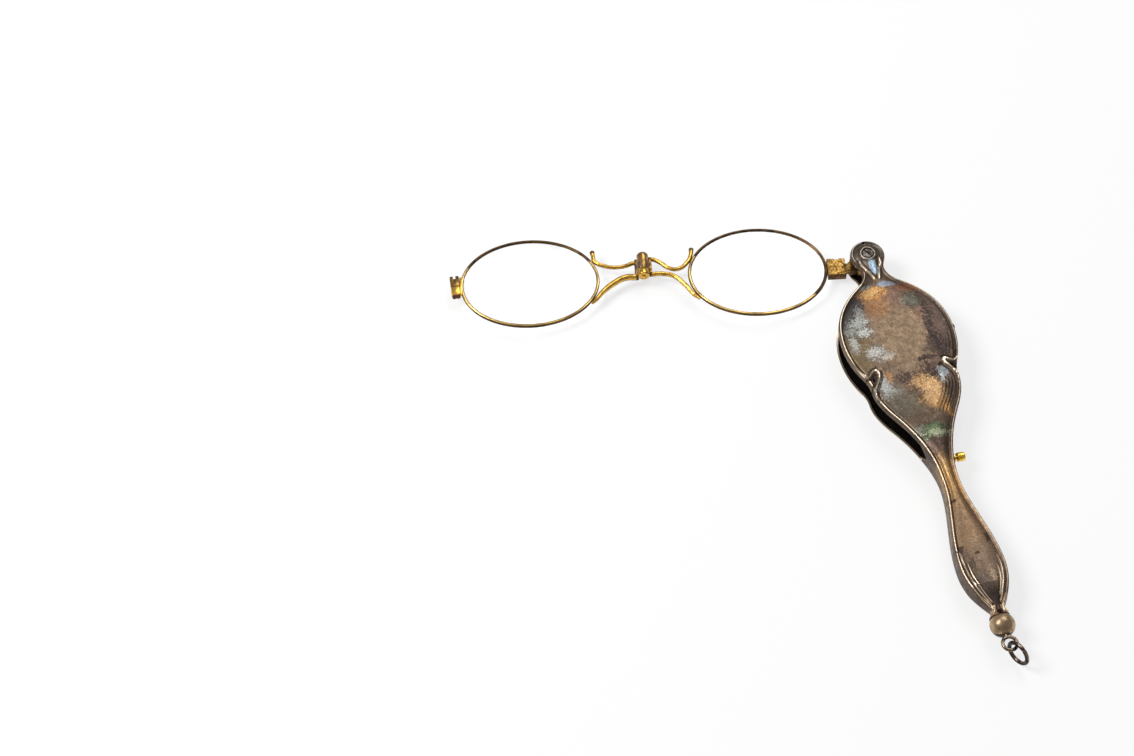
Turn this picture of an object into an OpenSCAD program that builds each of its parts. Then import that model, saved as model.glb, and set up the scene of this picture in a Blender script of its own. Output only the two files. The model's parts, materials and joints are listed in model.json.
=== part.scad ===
// Folding lorgnette: two oval lenses on a sprung bridge, swung out of a hollow handle by a leaf spring.
// The origin lies in the middle of the flat back panel, +Z towards the front, +Y towards the pivot.
// Every piece is drawn from the pivot screw and moved home last.

/* [Lenses] */
// Width of one lens
lens_w = 37.2; // [32:0.1:45]
// Height of one lens
lens_h = 28.4; // [25:0.1:34]
// Thickness of one lens at its middle
lens_t = 1.5; // [1:0.1:1.7]
// Radial thickness of the rim wire
rim_t = 0.84; // [0.7:0.02:1.1]
// Height of the rim wire
rim_h = 1.3; // [1.2:0.05:1.7]
// Depth of the groove that holds the lens
groove_d = 0.25; // [0.2:0.01:0.35]
// Clearance of the lens in its groove
groove_gap = 0.05; // [0.03:0.01:0.1]

/* [Bridge and arm] */
// Distance of the first rim from the pivot
arm_reach = 11; // [9.5:0.1:14]
// Distance of each rim from the hinge of the bridge
bridge_half = 12.6; // [11:0.1:16]
// Angle of the open lenses above the square position
open_tilt = 9.4; // [4:0.1:10]
// Height of the lenses above the table
lens_z = 3; // [2.9:0.05:3.2]
// Height of the bridge hinge above the lenses
fold_h = 1; // [1:0.05:1.1]
// Diameter of the bridge wires
wire_d = 1.2; // [0.8:0.05:1.3]
// Outer diameter of the hinge barrel
barrel_d = 3.6; // [3.2:0.05:3.8]
// Length of the hinge barrel and its collar
barrel_len = 8.3; // [7.6:0.1:9.6]
// Diameter of the hinge pin
pin_d = 1; // [0.8:0.05:1.1]
// Running clearance of pins and screws
run_gap = 0.05; // [0.02:0.01:0.08]
// Thickness of the arm
arm_t = 1.9; // [1.5:0.05:2.1]
// Width of the joint that closes the first rim
joint_w = 5.4; // [4.4:0.1:5.8]
// Length of the joint that closes the first rim
joint_len = 4.4; // [4:0.1:4.6]
// Height of the joint that closes the first rim
joint_h = 2.5; // [2.3:0.05:2.6]
// Length of the tube that closes the second rim
tube_len = 6.8; // [5.5:0.1:8]
// Width of the tube that closes the second rim
tube_d = 2.6; // [2:0.05:3]
// Height of this tube, which is flat above and below
tube_h = 1.4; // [1.3:0.02:1.44]

/* [Case] */
// Thickness of the case across the lens compartment
case_t = 9.4; // [9.2:0.1:11.4]
// Wall thickness of the shells
wall = 0.5; // [0.42:0.02:0.6]
// How far the closed rims stand proud of the slot
proud = 0; // [0:0.02:0.4]
// Height of the lower lip of the slot
lip_low = 1; // [0.9:0.05:1.1]
// Height of the upper lip of the slot
lip_high = 6.9; // [6.6:0.1:7]
// Height of the seam between the shells
seam_z = 4.7; // [4.6:0.05:4.8]
// Diameter of the round head at the pivot
head_d = 9.4; // [9.2:0.1:11.5]
// Diameter of the pivot screw's shank
screw_d = 1.8; // [1.5:0.1:2]
// Diameter of the pivot screw's head
screw_head_d = 3; // [2.4:0.1:3.4]
// Diameter of the arm's hub
hub_d = 5.2; // [4.4:0.1:5.4]

/* [Handle] */
// Narrowest width of the handle
neck_w = 4.6; // [4.5:0.1:5.6]
// Distance of the narrowest place below the bridge hinge
neck_drop = 11.3; // [10:0.1:15]
// Greatest width of the grip
grip_w = 11.8; // [10:0.1:15]
// Length from the neck to the widest place of the grip
grip_len = 25; // [22:0.5:32]
// Length from there to the lower end
grip_end = 12.1; // [11:0.1:16]
// Diameter of the ball at the end
ball_d = 6.4; // [5.4:0.1:7.7]

/* [Catch and ring] */
// Diameter of the button
button_d = 2.4; // [2:0.1:2.9]
// Length of the button
button_len = 2.1; // [1.9:0.1:2.8]
// Travel of the button
button_travel = 0.5; // [0.4:0.05:0.6]
// Thickness of the springs
spring_t = 0.35; // [0.3:0.01:0.4]
// Outer diameter of the eye below the ball
eye_d = 4.4; // [4.2:0.1:5]
// Wire diameter of the eye
eye_wire = 0.9; // [0.8:0.05:0.95]
// Outer diameter of the bail ring
ring_d = 6.8; // [6.6:0.1:8]
// Wire diameter of the bail ring
ring_wire = 1.05; // [0.9:0.05:1.1]

/* [Hidden] */
$fn = 48;

// Rims and bridge, measured along the arm (u) and across it (v) from the pivot
rim_a = lens_w / 2 + groove_gap + rim_t / 2 - groove_d;
rim_b = lens_h / 2 + groove_gap + rim_t / 2 - groove_d;
near_c = arm_reach + rim_a;
hinge_u = near_c + rim_a + bridge_half;
far_c = 2 * hinge_u - near_c;
rim_n = 60;
joint_v = -0.2;
hinge_z = lens_z + fold_h;
hinge_v0 = -0.5;
collar_len = 1.35;
leaf_gap = 0.15;
leaf_t = 0.45;
leaf_u = barrel_d / 2 + leaf_gap;
leaf_v0 = -0.35;
leaf_v1 = 6.85;

// Outline of the case, from the top of the head to the ball
case_hw = rim_b + rim_t / 2 - proud + wall;
head_r = head_d / 2;
wide_y = -(near_c - 1.8);
lobe_y = -(near_c + 0.463 * rim_a);
notch_y = lobe_y - 4.8;
waist_y = notch_y - 9.4;
neck_y = -(hinge_u + neck_drop);
grip_y = neck_y - grip_len;
end_y = grip_y - grip_end;
end_w = 1.75;
ball_y = end_y - ball_d / 2 - 0.4;
rest_y = -wide_y;
slot_top = 2.25;
tenon_d = 1.6;
slot_end = neck_y + 9.2;
front_top = case_t - seam_z;

module home() translate([0, rest_y, 0]) children();
module arm_frame() home() rotate([0, 0, -open_tilt]) mirror([1, 0, 0]) children();

// A point on a cubic curve through p[0] and p[3], and a run of n such points
function curve(p, t) = let (s = 1 - t)
    s * s * s * p[0] + 3 * s * s * t * p[1] + 3 * s * t * t * p[2] + t * t * t * p[3];
function run(p, n) = [for (i = [1:n]) curve(p, i / n)];
function unit(v) = v / norm(v);
function lerp(a, b, t) = a + (b - a) * t;

// A smooth line through a few chosen points, n steps to each span
function through(p, n) = [
    for (i = [0:len(p) - 2], k = [0:n - 1])
        let (a = p[max(i - 1, 0)], b = p[i], c = p[i + 1], d = p[min(i + 2, len(p) - 1)], t = k / n)
        0.5 * (2 * b + (c - a) * t + (2 * a - 5 * b + 4 * c - d) * t * t
            + (3 * b - a - 3 * c + d) * t * t * t),
    p[len(p) - 1]
];

// Half width and height along the handle, one point for each station of the shells
head_angles = [84, 72, 61, 50, 38, 28.6, 14, 0, -11, -22, -32];
outline = concat(
    [for (a = head_angles) head_r * [cos(a), sin(a)]],
    run([head_r * [cos(32), -sin(32)], [0.553 * head_r, -head_r], [0.617 * head_r, -head_r - 2.9],
        [head_r + 0.9, -head_r - 5.1]], 4),
    run([[head_r + 0.9, -head_r - 5.1], [case_hw - 3.2, -head_r - 10.1], [case_hw, wide_y + 8],
        [case_hw, wide_y]], 8),
    run([[case_hw, wide_y], [case_hw, wide_y - 4.5], [case_hw - 1.3, lobe_y + 2.2],
        [case_hw - 2.4, lobe_y]], 4),
    run([[case_hw - 2.4, lobe_y], [case_hw - 3, lobe_y - 1.2], [case_hw - 3.6, notch_y + 2.2],
        [case_hw - 3.55, notch_y]], 3),
    run([[case_hw - 3.55, notch_y], [case_hw - 3.5, notch_y - 3], [case_hw - 5, waist_y + 3],
        [case_hw - 6.9, waist_y]], 4),
    run([[case_hw - 6.9, waist_y], [case_hw - 9, waist_y - 3.6], [neck_w / 2, neck_y + 9],
        [neck_w / 2, neck_y]], 8),
    run([[neck_w / 2, neck_y], [neck_w / 2, neck_y - 8], [grip_w / 2, grip_y + 9],
        [grip_w / 2, grip_y]], 7),
    run([[grip_w / 2, grip_y], [grip_w / 2, grip_y - 5], [end_w + 1.85, end_y + 2.8],
        [end_w, end_y]], 7)
);
stations = len(outline);
function inward(i) = let (d = unit(outline[min(i + 1, stations - 1)] - outline[max(i - 1, 0)])) [d[1], -d[0]];
function half_w(y) = lookup(y, [for (p = outline) [p[1], p[0]]]);

// The row of t for height y, mixed from the two rows it falls between
function between(y, t, i = 0) =
    y <= t[i][0] ? t[i][1] :
    i == len(t) - 1 ? t[i][1] :
    y < t[i + 1][0] ? lerp(t[i][1], t[i + 1][1], (y - t[i][0]) / (t[i + 1][0] - t[i][0])) :
    between(y, t, i + 1);
function inset(i, s) = outline[i] + inward(i) * s
    * (outline[i][1] > -head_r ? 1 : min(1, outline[i][0] / 2.6));

// Heights above the seam along the handle: edge bead and crown outside, edge and crown inside
function front_h(y) = between(y, [
    [end_y, [1.5, 1.75, 0.9, 1.0]], [grip_y - 6, [2.65, 3.2, 2.1, 2.6]], [neck_y, [2.7, 3.2, 2.1, 2.6]],
    [neck_y + 10, [front_top - 1.1, front_top - 0.5, front_top - 1.7, front_top - 1.1]],
    [notch_y, [front_top - 0.7, front_top, front_top - 1.25, front_top - 0.5]],
    [-head_r - 9, [front_top - 0.7, front_top, front_top - 1.25, front_top - 0.6]],
    [-head_r, [front_top - 0.9, front_top - 0.35, front_top - 1.45, front_top - 1.4]]
]);
function back_h(y) = between(y, [
    [end_y, [1.5, 1.75, 0.9, 1.0]], [grip_y - 6, [2.65, 3.2, 2.1, 2.6]], [neck_y, [2.7, 3.2, 2.1, 2.6]],
    [neck_y + 10, [seam_z - 0.9, seam_z - 0.5, seam_z - 1.5, seam_z - 1.1]],
    [notch_y, [seam_z - 0.2, seam_z, seam_z - 0.7, seam_z - 0.5]],
    [-head_r - 9, [seam_z - 0.2, seam_z, seam_z - 0.7, seam_z - 0.5]],
    [-head_r, [seam_z - 0.25, seam_z - 0.1, seam_z - 1.25, seam_z - 1.2]]
]);
function lip(y, open_h) = lookup(y,
    [[slot_end - 1.5, 0], [slot_end + 1.5, open_h], [slot_top, open_h], [slot_top + 0.7, 0]]);

// One ring of a shell: outer edge, bead, groove and crown from left to right, then back along the inside
function half_ring(i, h, low, level) = [
    for (q = [[0, low], [0, max(low + 0.03, h[0] - 0.95)], [0.17, max(low + 0.06, h[0] - 0.4)],
              [0.5, h[0]], [0.95, h[0] - 0.22], [1.45, h[0] - 0.2]])
        let (p = inset(i, q[0])) [p[0], p[1], q[1]],
    for (f = [0.66, 0.34])
        let (p = inset(i, 1.45), drop = level ? max(0, f * f - 0.12) : f * f)
            [p[0] * f, p[1], lerp(h[1], h[0] - 0.2, drop)]
];
function half_inside(i, h, low) = [
    for (q = [[wall, low], [wall, max(low + 0.02, h[2] - 0.6)], [wall + 0.55, h[2]]])
        let (p = inset(i, q[0])) [p[0], p[1], q[1]],
    let (p = inset(i, wall + 0.55)) [p[0] * 0.5, p[1], lerp(h[3], h[2], 0.25)]
];
function flip(p) = [for (q = p) [-q[0], q[1], q[2]]];
function turn(p) = [for (i = [len(p) - 1:-1:0]) p[i]];
function shell_ring(i, h, open_h, level) = let (
    open_low = min(open_h, h[0] - 0.8),
    left = half_ring(i, h, open_low, level), right = half_ring(i, h, 0, level),
    in_left = half_inside(i, h, open_low), in_right = half_inside(i, h, 0),
    top = inset(i, 1.45), under = inset(i, wall + 0.55)
) concat(flip(left), [[0, top[1], h[1]]], turn(right), in_right, [[0, under[1], h[3]]], turn(flip(in_left)));

// Faces between rings of m points, and end faces made of two ladders and the lip
function sides(n, m) = [
    for (i = [0:n - 2], k = [0:m - 1]) let (a = i * m + k, b = i * m + (k + 1) % m, c = a + m, d = b + m)
        each [[a, c, b], [b, c, d]]
];
function ladder(s, n) = [
    for (k = [0:n / 2 - 1]) let (a = s + k, b = s + k + 1, c = s + n - 2 - k, d = s + n - 1 - k)
        each b == c ? [[a, b, d]] : [[a, b, d], [b, c, d]]
];
function shell_end(s, outer, inner) = concat(ladder(s, outer), ladder(s + outer, inner),
    [[s, s + outer - 1, s + outer], [s, s + outer, s + outer + inner - 1]]);
function reversed(f) = [for (t = f) [t[2], t[1], t[0]]];

module shell(front) {
    outer = 17;
    inner = 9;
    m = outer + inner;
    rings = [for (i = [0:stations - 1])
        let (y = outline[i][1])
        shell_ring(i, front ? front_h(y) : back_h(y), lip(y, front ? lip_high - seam_z : seam_z - lip_low),
            !front && i > 0 && i < stations - 1)];
    points = [for (r = rings, p = r) [p[0], p[1], front ? seam_z + p[2] : seam_z - p[2]]];
    faces = concat(sides(stations, m), shell_end(0, outer, inner),
        reversed(shell_end((stations - 1) * m, outer, inner)));
    polyhedron(points, front ? faces : reversed(faces));
}

// Closed or open tube along a path lying flat, with a profile of [across, up] points scaled at each step
function flat_frame(p, i) = let (d = unit(p[min(i + 1, len(p) - 1)] - p[max(i - 1, 0)])) [d[1], -d[0]];
module flat_sweep(path, profile, scales) {
    m = len(profile);
    n = len(path);
    points = [for (i = [0:n - 1], q = profile)
        let (f = flat_frame(path, i), k = scales[min(i, len(scales) - 1)])
        [path[i][0] + f[0] * q[0] * k, path[i][1] + f[1] * q[0] * k, q[1] * k]];
    polyhedron(points, concat(sides(n, m), [[for (k = [0:m - 1]) k]],
        [[for (k = [m - 1:-1:0]) (n - 1) * m + k]]));
}
function round_profile(d, n) = [for (k = [0:n - 1])
    let (t = 360 * (k + 0.5) / n) d / 2 * [cos(t), -sin(t)]];

// The section of a flat spring of height h, read round its four corners
function strip_profile(h) = [[spring_t / 2, -h / 2], [spring_t / 2, h / 2],
    [-spring_t / 2, h / 2], [-spring_t / 2, -h / 2]];

// A point beside a rim: c is the lens centre, t the angle round it, d the distance outwards
function beside(c, t, d) = [c + rim_a * cos(t), rim_b * sin(t)] + d * unit([cos(t) / rim_a, sin(t) / rim_b]);

module rim(c, gap_at) {
    start = gap_at + 0.3;
    path = [for (k = [0:rim_n]) let (t = start + k * 359.4 / rim_n) [c + rim_a * cos(t), rim_b * sin(t)]];
    r = rim_t / 2;
    g = 0.3;
    profile = [[r, -0.35], [r, 0.35], [0.2, rim_h / 2], [-0.25, rim_h / 2], [-r, g], [groove_d - r, 0],
               [-r, -g], [-0.25, -rim_h / 2], [0.2, -rim_h / 2]];
    m = len(profile);
    n = len(path);
    points = [for (p = path, q = profile)
        let (d = unit([(p[0] - c) / pow(rim_a, 2), p[1] / pow(rim_b, 2)]))
            [p[0] + d[0] * q[0], p[1] + d[1] * q[0], q[1]]];
    translate([0, 0, lens_z])
        polyhedron(points, concat(sides(n, m),
            [[for (k = [0:m - 1]) k]], [[for (k = [m - 1:-1:0]) (n - 1) * m + k]]));
}

module lens(c) {
    a = lens_w / 2;
    b = lens_h / 2;
    half = lens_t / 2;
    levels = [[0.55 * a, -half], [a - 0.32, -half + 0.22], [a - 0.28, -0.21], [a, 0],
              [a - 0.28, 0.21], [a - 0.32, half - 0.22], [0.55 * a, half]];
    points = [for (l = levels, k = [0:rim_n - 1])
        let (t = -360 * k / rim_n, across = l[0] < 0.9 * a ? l[0] / a * b : l[0] - a + b)
            [c + l[0] * cos(t), across * sin(t), l[1]]];
    n = len(levels);
    translate([0, 0, lens_z])
        polyhedron(points, concat(sides(n, rim_n), [[for (k = [0:rim_n - 1]) k]],
            [[for (k = [rim_n - 1:-1:0]) (n - 1) * rim_n + k]]));
}

module wire(points, end_scales) {
    steps = 4;
    path = through(points, steps);
    n = len(path);
    tail = len(end_scales);
    scales = [for (i = [0:n - 1]) i < n - tail ? 1 : end_scales[i - n + tail]];
    translate([0, 0, lens_z]) flat_sweep(path, round_profile(wire_d, 8), scales);
}

module post(d, z0, z1) translate([0, 0, z0]) cylinder(d = d, h = z1 - z0);
module across(d, v0, v1) rotate([-90, 0, 0]) translate([0, 0, v0]) cylinder(d = d, h = v1 - v0);
module slab(u0, u1, v0, v1, z0, z1) translate([u0, v0, z0]) cube([u1 - u0, v1 - v0, z1 - z0]);

// Case
screw_z = seam_z + front_top - 0.9;
button_y = neck_y + 7;
rivet_y = wide_y + 0.6;
rivet_z = lip_high - 0.05;

module tenon_hole() translate([0, end_y, seam_z]) across(tenon_d + 2 * run_gap, -1, 2 + run_gap);
module button_hole() translate([0, button_y, seam_z]) rotate([0, 90, 0])
    cylinder(d = button_stem_d + 2 * run_gap, h = 2 * grip_w);

module front_shell() color([0.45, 0.38, 0.31]) home() difference() {
    shell(true);
    post(screw_d + 2 * run_gap, seam_z, 2 * case_t);
    post(screw_head_d + 4 * run_gap, screw_z, 2 * case_t);
    button_hole();
    tenon_hole();
    translate([0, rivet_y, rivet_z]) rotate([0, 90, 0]) cylinder(d = rivet_d + run_gap, h = 2 * case_hw);
}

module back_shell() color([0.43, 0.37, 0.31]) home() difference() {
    shell(false);
    post(screw_d + 2 * run_gap, -1, seam_z);
    button_hole();
    tenon_hole();
}

module pivot_screw() color([0.32, 0.3, 0.28]) home() difference() {
    union() {
        post(screw_d, 0.35, screw_z + 0.2);
        post(screw_head_d, screw_z + 0.02, screw_z + 0.55);
    }
    rotate([0, 0, 115]) slab(-screw_head_d, screw_head_d, -0.2, 0.2, screw_z + 0.25, screw_z + 1);
}

screw_slot = 0.24;
hub_top = seam_z + front_top - 1.85;
arm_z = lens_z - arm_t / 2;
module washer(z0, z1) difference() {
    post(hub_d - 0.8, z0, z1);
    post(screw_d + 2 * run_gap, z0 - 1, z1 + 1);
}
module front_washer() color("goldenrod") home() washer(hub_top + run_gap, hub_top + 0.35);
module back_washer() color("goldenrod") home() washer(1.3, arm_z - run_gap);

// Leaf spring along the closed side wall, from its rivet to the flat on the hub
spring_first = search(1, [for (p = outline) p[1] <= wide_y + 0.01 ? 1 : 0])[0] + 2;
spring_last = search(1, [for (p = outline) p[1] < -head_r - 6.5 ? 1 : 0])[0];
spring_path = concat(
    [for (i = [spring_first:-1:spring_last])
        let (share = (spring_first - i) / (spring_first - spring_last))
        inset(i, wall + run_gap + spring_t / 2 + 0.5 * pow(share, 2))],
    [[0.68 * head_r, -head_r - 4.2], [0.47 * head_r, -head_r - 2], [0.42 * head_r, -head_r],
        [hub_d / 2 * sin(38) + 0.2, -hub_d / 2 * cos(38) - 0.15]]
);
spring_h = 0.9;
rivet_d = 0.6;
module opening_spring() color("silver") home() difference() {
    translate([0, 0, rivet_z]) flat_sweep(spring_path,
        strip_profile(spring_h), [1]);
    translate([0, rivet_y, rivet_z]) rotate([0, 90, 0]) cylinder(d = rivet_d + run_gap, h = 2 * case_hw);
}

module spring_rivet() color([0.5, 0.42, 0.34]) home()
    translate([case_hw, rivet_y, rivet_z]) rotate([0, 90, 0]) {
    translate([0, 0, -wall - spring_t - 3 * run_gap])
        cylinder(d = rivet_d, h = wall + spring_t + 5 * run_gap);
    translate([0, 0, run_gap]) rotate_extrude() intersection() {
        translate([0, -0.45]) circle(r = 1.05);
        square([0.95, 1]);
    }
}

// Button and catch
button_stem_d = 1.2;
bush_x = half_w(button_y + button_stem_d) + 0.02;
bush_h = 0.25;
cap_x = bush_x + bush_h + button_travel + 0.05;
lever_face = 1.4;
module button_bush() color("goldenrod") home()
    translate([bush_x, button_y, seam_z]) rotate([0, 90, 0]) difference() {
    cylinder(d = button_stem_d + 0.9, h = bush_h);
    translate([0, 0, -1]) cylinder(d = button_stem_d + 2 * run_gap, h = 3);
}
module button_stem() color("goldenrod") home()
    translate([lever_face + run_gap, button_y, seam_z]) rotate([0, 90, 0])
    cylinder(d = button_stem_d, h = cap_x - lever_face - run_gap);
module button_cap() color("gold") home()
    translate([cap_x, button_y, seam_z]) rotate([0, 90, 0]) rotate_extrude()
    polygon([[0, 0], [button_d / 2 - 0.15, 0], [button_d / 2, 0.15], [button_d / 2, button_len - 0.35],
             [button_d / 2 - 0.12, button_len - 0.12], [button_d / 2 - 0.4, button_len], [0, button_len]]);

// The lever turns on a pin in the grip and its hook holds the bridge when the case is shut
catch_y = neck_y - 7.5;
catch_eye = 2.4;
catch_pin_d = 1;
hook_y = -(hinge_u + barrel_d / 2 + 0.8);
lever_h = 1.6;
module catch_pin() color("silver") home() translate([0, catch_y, 0])
    post(catch_pin_d, seam_z - back_h(catch_y)[3] + 0.1, seam_z + front_h(catch_y)[3] - 0.1);
module catch_lever() color("goldenrod") home() difference() {
    union() {
        translate([0, catch_y, 0]) post(catch_eye, seam_z - lever_h / 2, seam_z + lever_h / 2);
        translate([0, 0, seam_z - lever_h / 2]) linear_extrude(lever_h) polygon([
            [catch_eye / 2 - 0.05, catch_y], [lever_face, catch_y + 6], [lever_face, hook_y],
            [lever_face - 0.5, hook_y + 0.5], [-1.1, hook_y + 0.5], [-1.1, hook_y], [0.4, hook_y - 0.3],
            [0.4, catch_y + 6], [-0.4, catch_y]
        ]);
    }
    translate([0, catch_y, 0]) post(catch_pin_d + 2 * run_gap, 0, case_t);
}
catch_foot = grip_y + 7;
module catch_spring() color("silver") home() translate([0, 0, seam_z]) flat_sweep(
    through([[-half_w(catch_foot) + wall + 0.3, catch_foot - 1],
        [-half_w(catch_foot + 2) + wall + 0.45, catch_foot + 2],
             [-catch_eye / 2 - 0.75, catch_y - 1], [-1.25, catch_y + 3], [-0.25, catch_y + 6]], 3),
    strip_profile(lever_h), [1]);

// Ball, eye and ring at the lower end
collar_d = 3;
module ball_finial() color([0.55, 0.44, 0.31]) home() translate([0, ball_y, seam_z]) {
    sphere(d = ball_d);
    across(collar_d, 0, end_y - ball_y - run_gap);
    across(tenon_d, 0, end_y - ball_y + 2);
}
eye_r = (eye_d - eye_wire) / 2;
eye_y = ball_y - ball_d / 2 - eye_d / 2 - 0.2;
eye_z = seam_z + 0.5;
module ring_of(r, d) rotate_extrude($fn = 64) translate([r, 0]) circle(d = d, $fn = 24);
module bail_eye() color([0.5, 0.4, 0.3]) home() difference() {
    union() {
        translate([0, eye_y, eye_z]) ring_of(eye_r, eye_wire);
        translate([0, eye_y + eye_r, seam_z + 0.25]) across(1.3, 0, 1.2);
    }
    translate([0, ball_y, seam_z]) sphere(d = ball_d + 0.04);
}
ring_r = (ring_d - ring_wire) / 2;
ring_start = [0.44, -0.1, -0.05];
ring_yaw = 22.8;
ring_dip = 24;
ring_turn = -84.5;
module bail_ring() color([0.5, 0.42, 0.33]) home() translate([0, eye_y, eye_z])
    rotate([0, 0, ring_yaw]) translate(ring_start) rotate([ring_dip, 0, 0])
    rotate([0, ring_turn, 0]) translate([0, -ring_r, 0])
    ring_of(ring_r, ring_wire);

// Arm and first lens
block_u = arm_reach - rim_t / 2;
block_start = block_u - joint_len;
joint_z = lens_z - 0.35;
block_low = joint_z - joint_h / 2;
block_top = joint_z + joint_h / 2;
bore_u = block_start + 1.6;
arm_boss_d = 6.6;
shoulder_w = 3.3;
tongue_w = 2.4;
arm_v = joint_v - 0.35;
hub_flat = 0.28;
hub_flat_turn = 232;
module arm_bar(u, w) slab(hub_d / 2 - 1, u, arm_v - w / 2, arm_v + w / 2, arm_z, arm_z + arm_t);
module pivot_arm() color("goldenrod") arm_frame() difference() {
    union() {
        post(arm_boss_d, arm_z, arm_z + arm_t);
        post(hub_d, arm_z, hub_top);
        arm_bar(block_start - 1.25, shoulder_w);
        arm_bar(block_start - 0.02, tongue_w);
    }
    post(screw_d + 2 * run_gap, 0, case_t);
    rotate([0, 0, open_tilt + hub_flat_turn])
        slab(hub_d / 2 - hub_flat, hub_d, -hub_d, hub_d, arm_z + arm_t, case_t);
}
module rim_side(c) linear_extrude(4 * joint_h, center = true)
    polygon([for (k = [0:rim_n - 1]) let (t = 360 * k / rim_n) beside(c, t, rim_t / 2 + 0.03)]);
clamp_d = 1;
clamp_head_d = 1.6;
clamp_gap = 0.02;
joint_end = joint_v - joint_w / 2;
module joint_bore() translate([bore_u, 0, joint_z]) across(clamp_d + 2 * clamp_gap, -joint_w, joint_w);
module near_joint_upper() color("gold") arm_frame() difference() {
    slab(block_start, block_u + 1, joint_v + 0.02, joint_v + joint_w / 2, block_low, block_top);
    translate([0, 0, lens_z]) rim_side(near_c);
    joint_bore();
    translate([block_start + 1.9, joint_v + joint_w / 2, block_top])
        rotate([0, 45, 90]) cube([1, 1.4, 1], center = true);
}
module near_joint_lower() color("gold") arm_frame() difference() {
    slab(block_start, block_u + 1, joint_v - joint_w / 2, joint_v - 0.02, block_low, block_top);
    translate([0, 0, lens_z]) rim_side(near_c);
    joint_bore();
    translate([bore_u, 0, joint_z]) across(clamp_head_d + 0.1, -joint_w, joint_end + 0.5);
}
module near_joint_screw() color([0.42, 0.34, 0.26]) arm_frame() translate([bore_u, 0, joint_z]) difference() {
    union() {
        across(clamp_d, joint_end + 0.4, joint_v + joint_w / 2 - 0.1);
        across(clamp_head_d, joint_end + 0.08, joint_end + 0.48);
    }
    slab(-screw_slot / 2, screw_slot / 2, -joint_w, joint_end + 0.25, -clamp_head_d, clamp_head_d);
}
module near_rim() color([0.5, 0.4, 0.22]) arm_frame() rim(near_c, 180 - asin(joint_v / rim_b));
module near_lens() color([0.85, 0.9, 0.9, 0.4]) arm_frame() lens(near_c);
touch = rim_t / 2 + wire_d / 2 + 0.08;
curl = [1, 1, 1.1, 1.25, 1.15, 0.6];
foot = [1, 0.95, 0.85, 0.7, 0.45, 0.2];
module near_bridge_wires() color("goldenrod") arm_frame() {
    leaf = hinge_u - leaf_u - leaf_t - 0.02;
    r = near_c + rim_a;
    wire([[leaf, 6.2], [leaf - 0.8, 6.05], [leaf - 2.6, 4.9], [leaf - 5, 2.8], [lerp(leaf, r, 0.72), 2.4],
         beside(near_c, 17, touch), beside(near_c, 26, touch + 0.14), beside(near_c, 32, touch + 1.07)], curl);
    wire([[leaf - 0.03, 1], [leaf - 3.2, 1], [leaf - 6.3, -0.1], [lerp(leaf, r, 0.86), -3.1],
          beside(near_c, -25, touch), beside(near_c, -32, touch - 0.25)], foot);
}
module leaf(side, v0, v1) {
    inner_face = hinge_u + side * (leaf_u + leaf_t / 2);
    web = hinge_u + side * (barrel_d / 2 - 0.05);
    slab(inner_face - leaf_t / 2, inner_face + leaf_t / 2, leaf_v0, leaf_v1, lens_z - 1.2, lens_z + 1);
    slab(min(web, inner_face), max(web, inner_face), v0, v1, lens_z + 0.1, hinge_z - 0.1);
}
chamber_d = barrel_d - 0.75;
module hinge_barrel() color([0.6, 0.45, 0.2]) arm_frame() difference() {
    v0 = hinge_v0 + collar_len + 0.08;
    v1 = hinge_v0 + barrel_len;
    union() {
        translate([hinge_u, 0, hinge_z]) {
            across(barrel_d, v0, v1 - 0.7);
            translate([0, v1 - 0.7, 0]) rotate([-90, 0, 0]) rotate_extrude() intersection() {
                translate([0, -0.65]) circle(r = barrel_d / 2 + 0.02);
                square([barrel_d / 2, 0.75]);
            }
        }
        leaf(-1, v0, v1 - 1);
    }
    translate([hinge_u, 0, hinge_z]) {
        across(pin_d + 2 * run_gap, v0 - 1, v1 - 0.9);
        across(chamber_d, v0 + 0.7, v1 - 1.9);
    }
}
// Torsion spring round the pin, one tube with its curls apart
coil_turns = 4;
coil_wire = 0.3;
coil_d = (pin_d + chamber_d) / 2 + run_gap;
coil_len = barrel_len - collar_len - 3.2;
function coil_at(t) = [coil_d / 2 * cos(360 * t), coil_d / 2 * sin(360 * t), t * coil_len / coil_turns];
echo(least_gap_of_bridge_spring = coil_len / coil_turns - coil_wire);
module bridge_spring() color("silver") arm_frame()
    translate([hinge_u, hinge_v0 + collar_len + 1.05, hinge_z]) rotate([-90, 0, 0]) {
    n = coil_turns * 8 + 1;
    points = [for (i = [0:n - 1], k = [0:5]) let (a = i * 45, r = coil_wire / 2)
        coil_at(i / 8) + r * cos(60 * k) * [cos(a), sin(a), 0] + [0, 0, r * sin(60 * k)]];
    polyhedron(points, concat(reversed(sides(n, 6)),
        [[5, 4, 3, 2, 1, 0]], [[for (k = [0:5]) (n - 1) * 6 + k]]));
}

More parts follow.
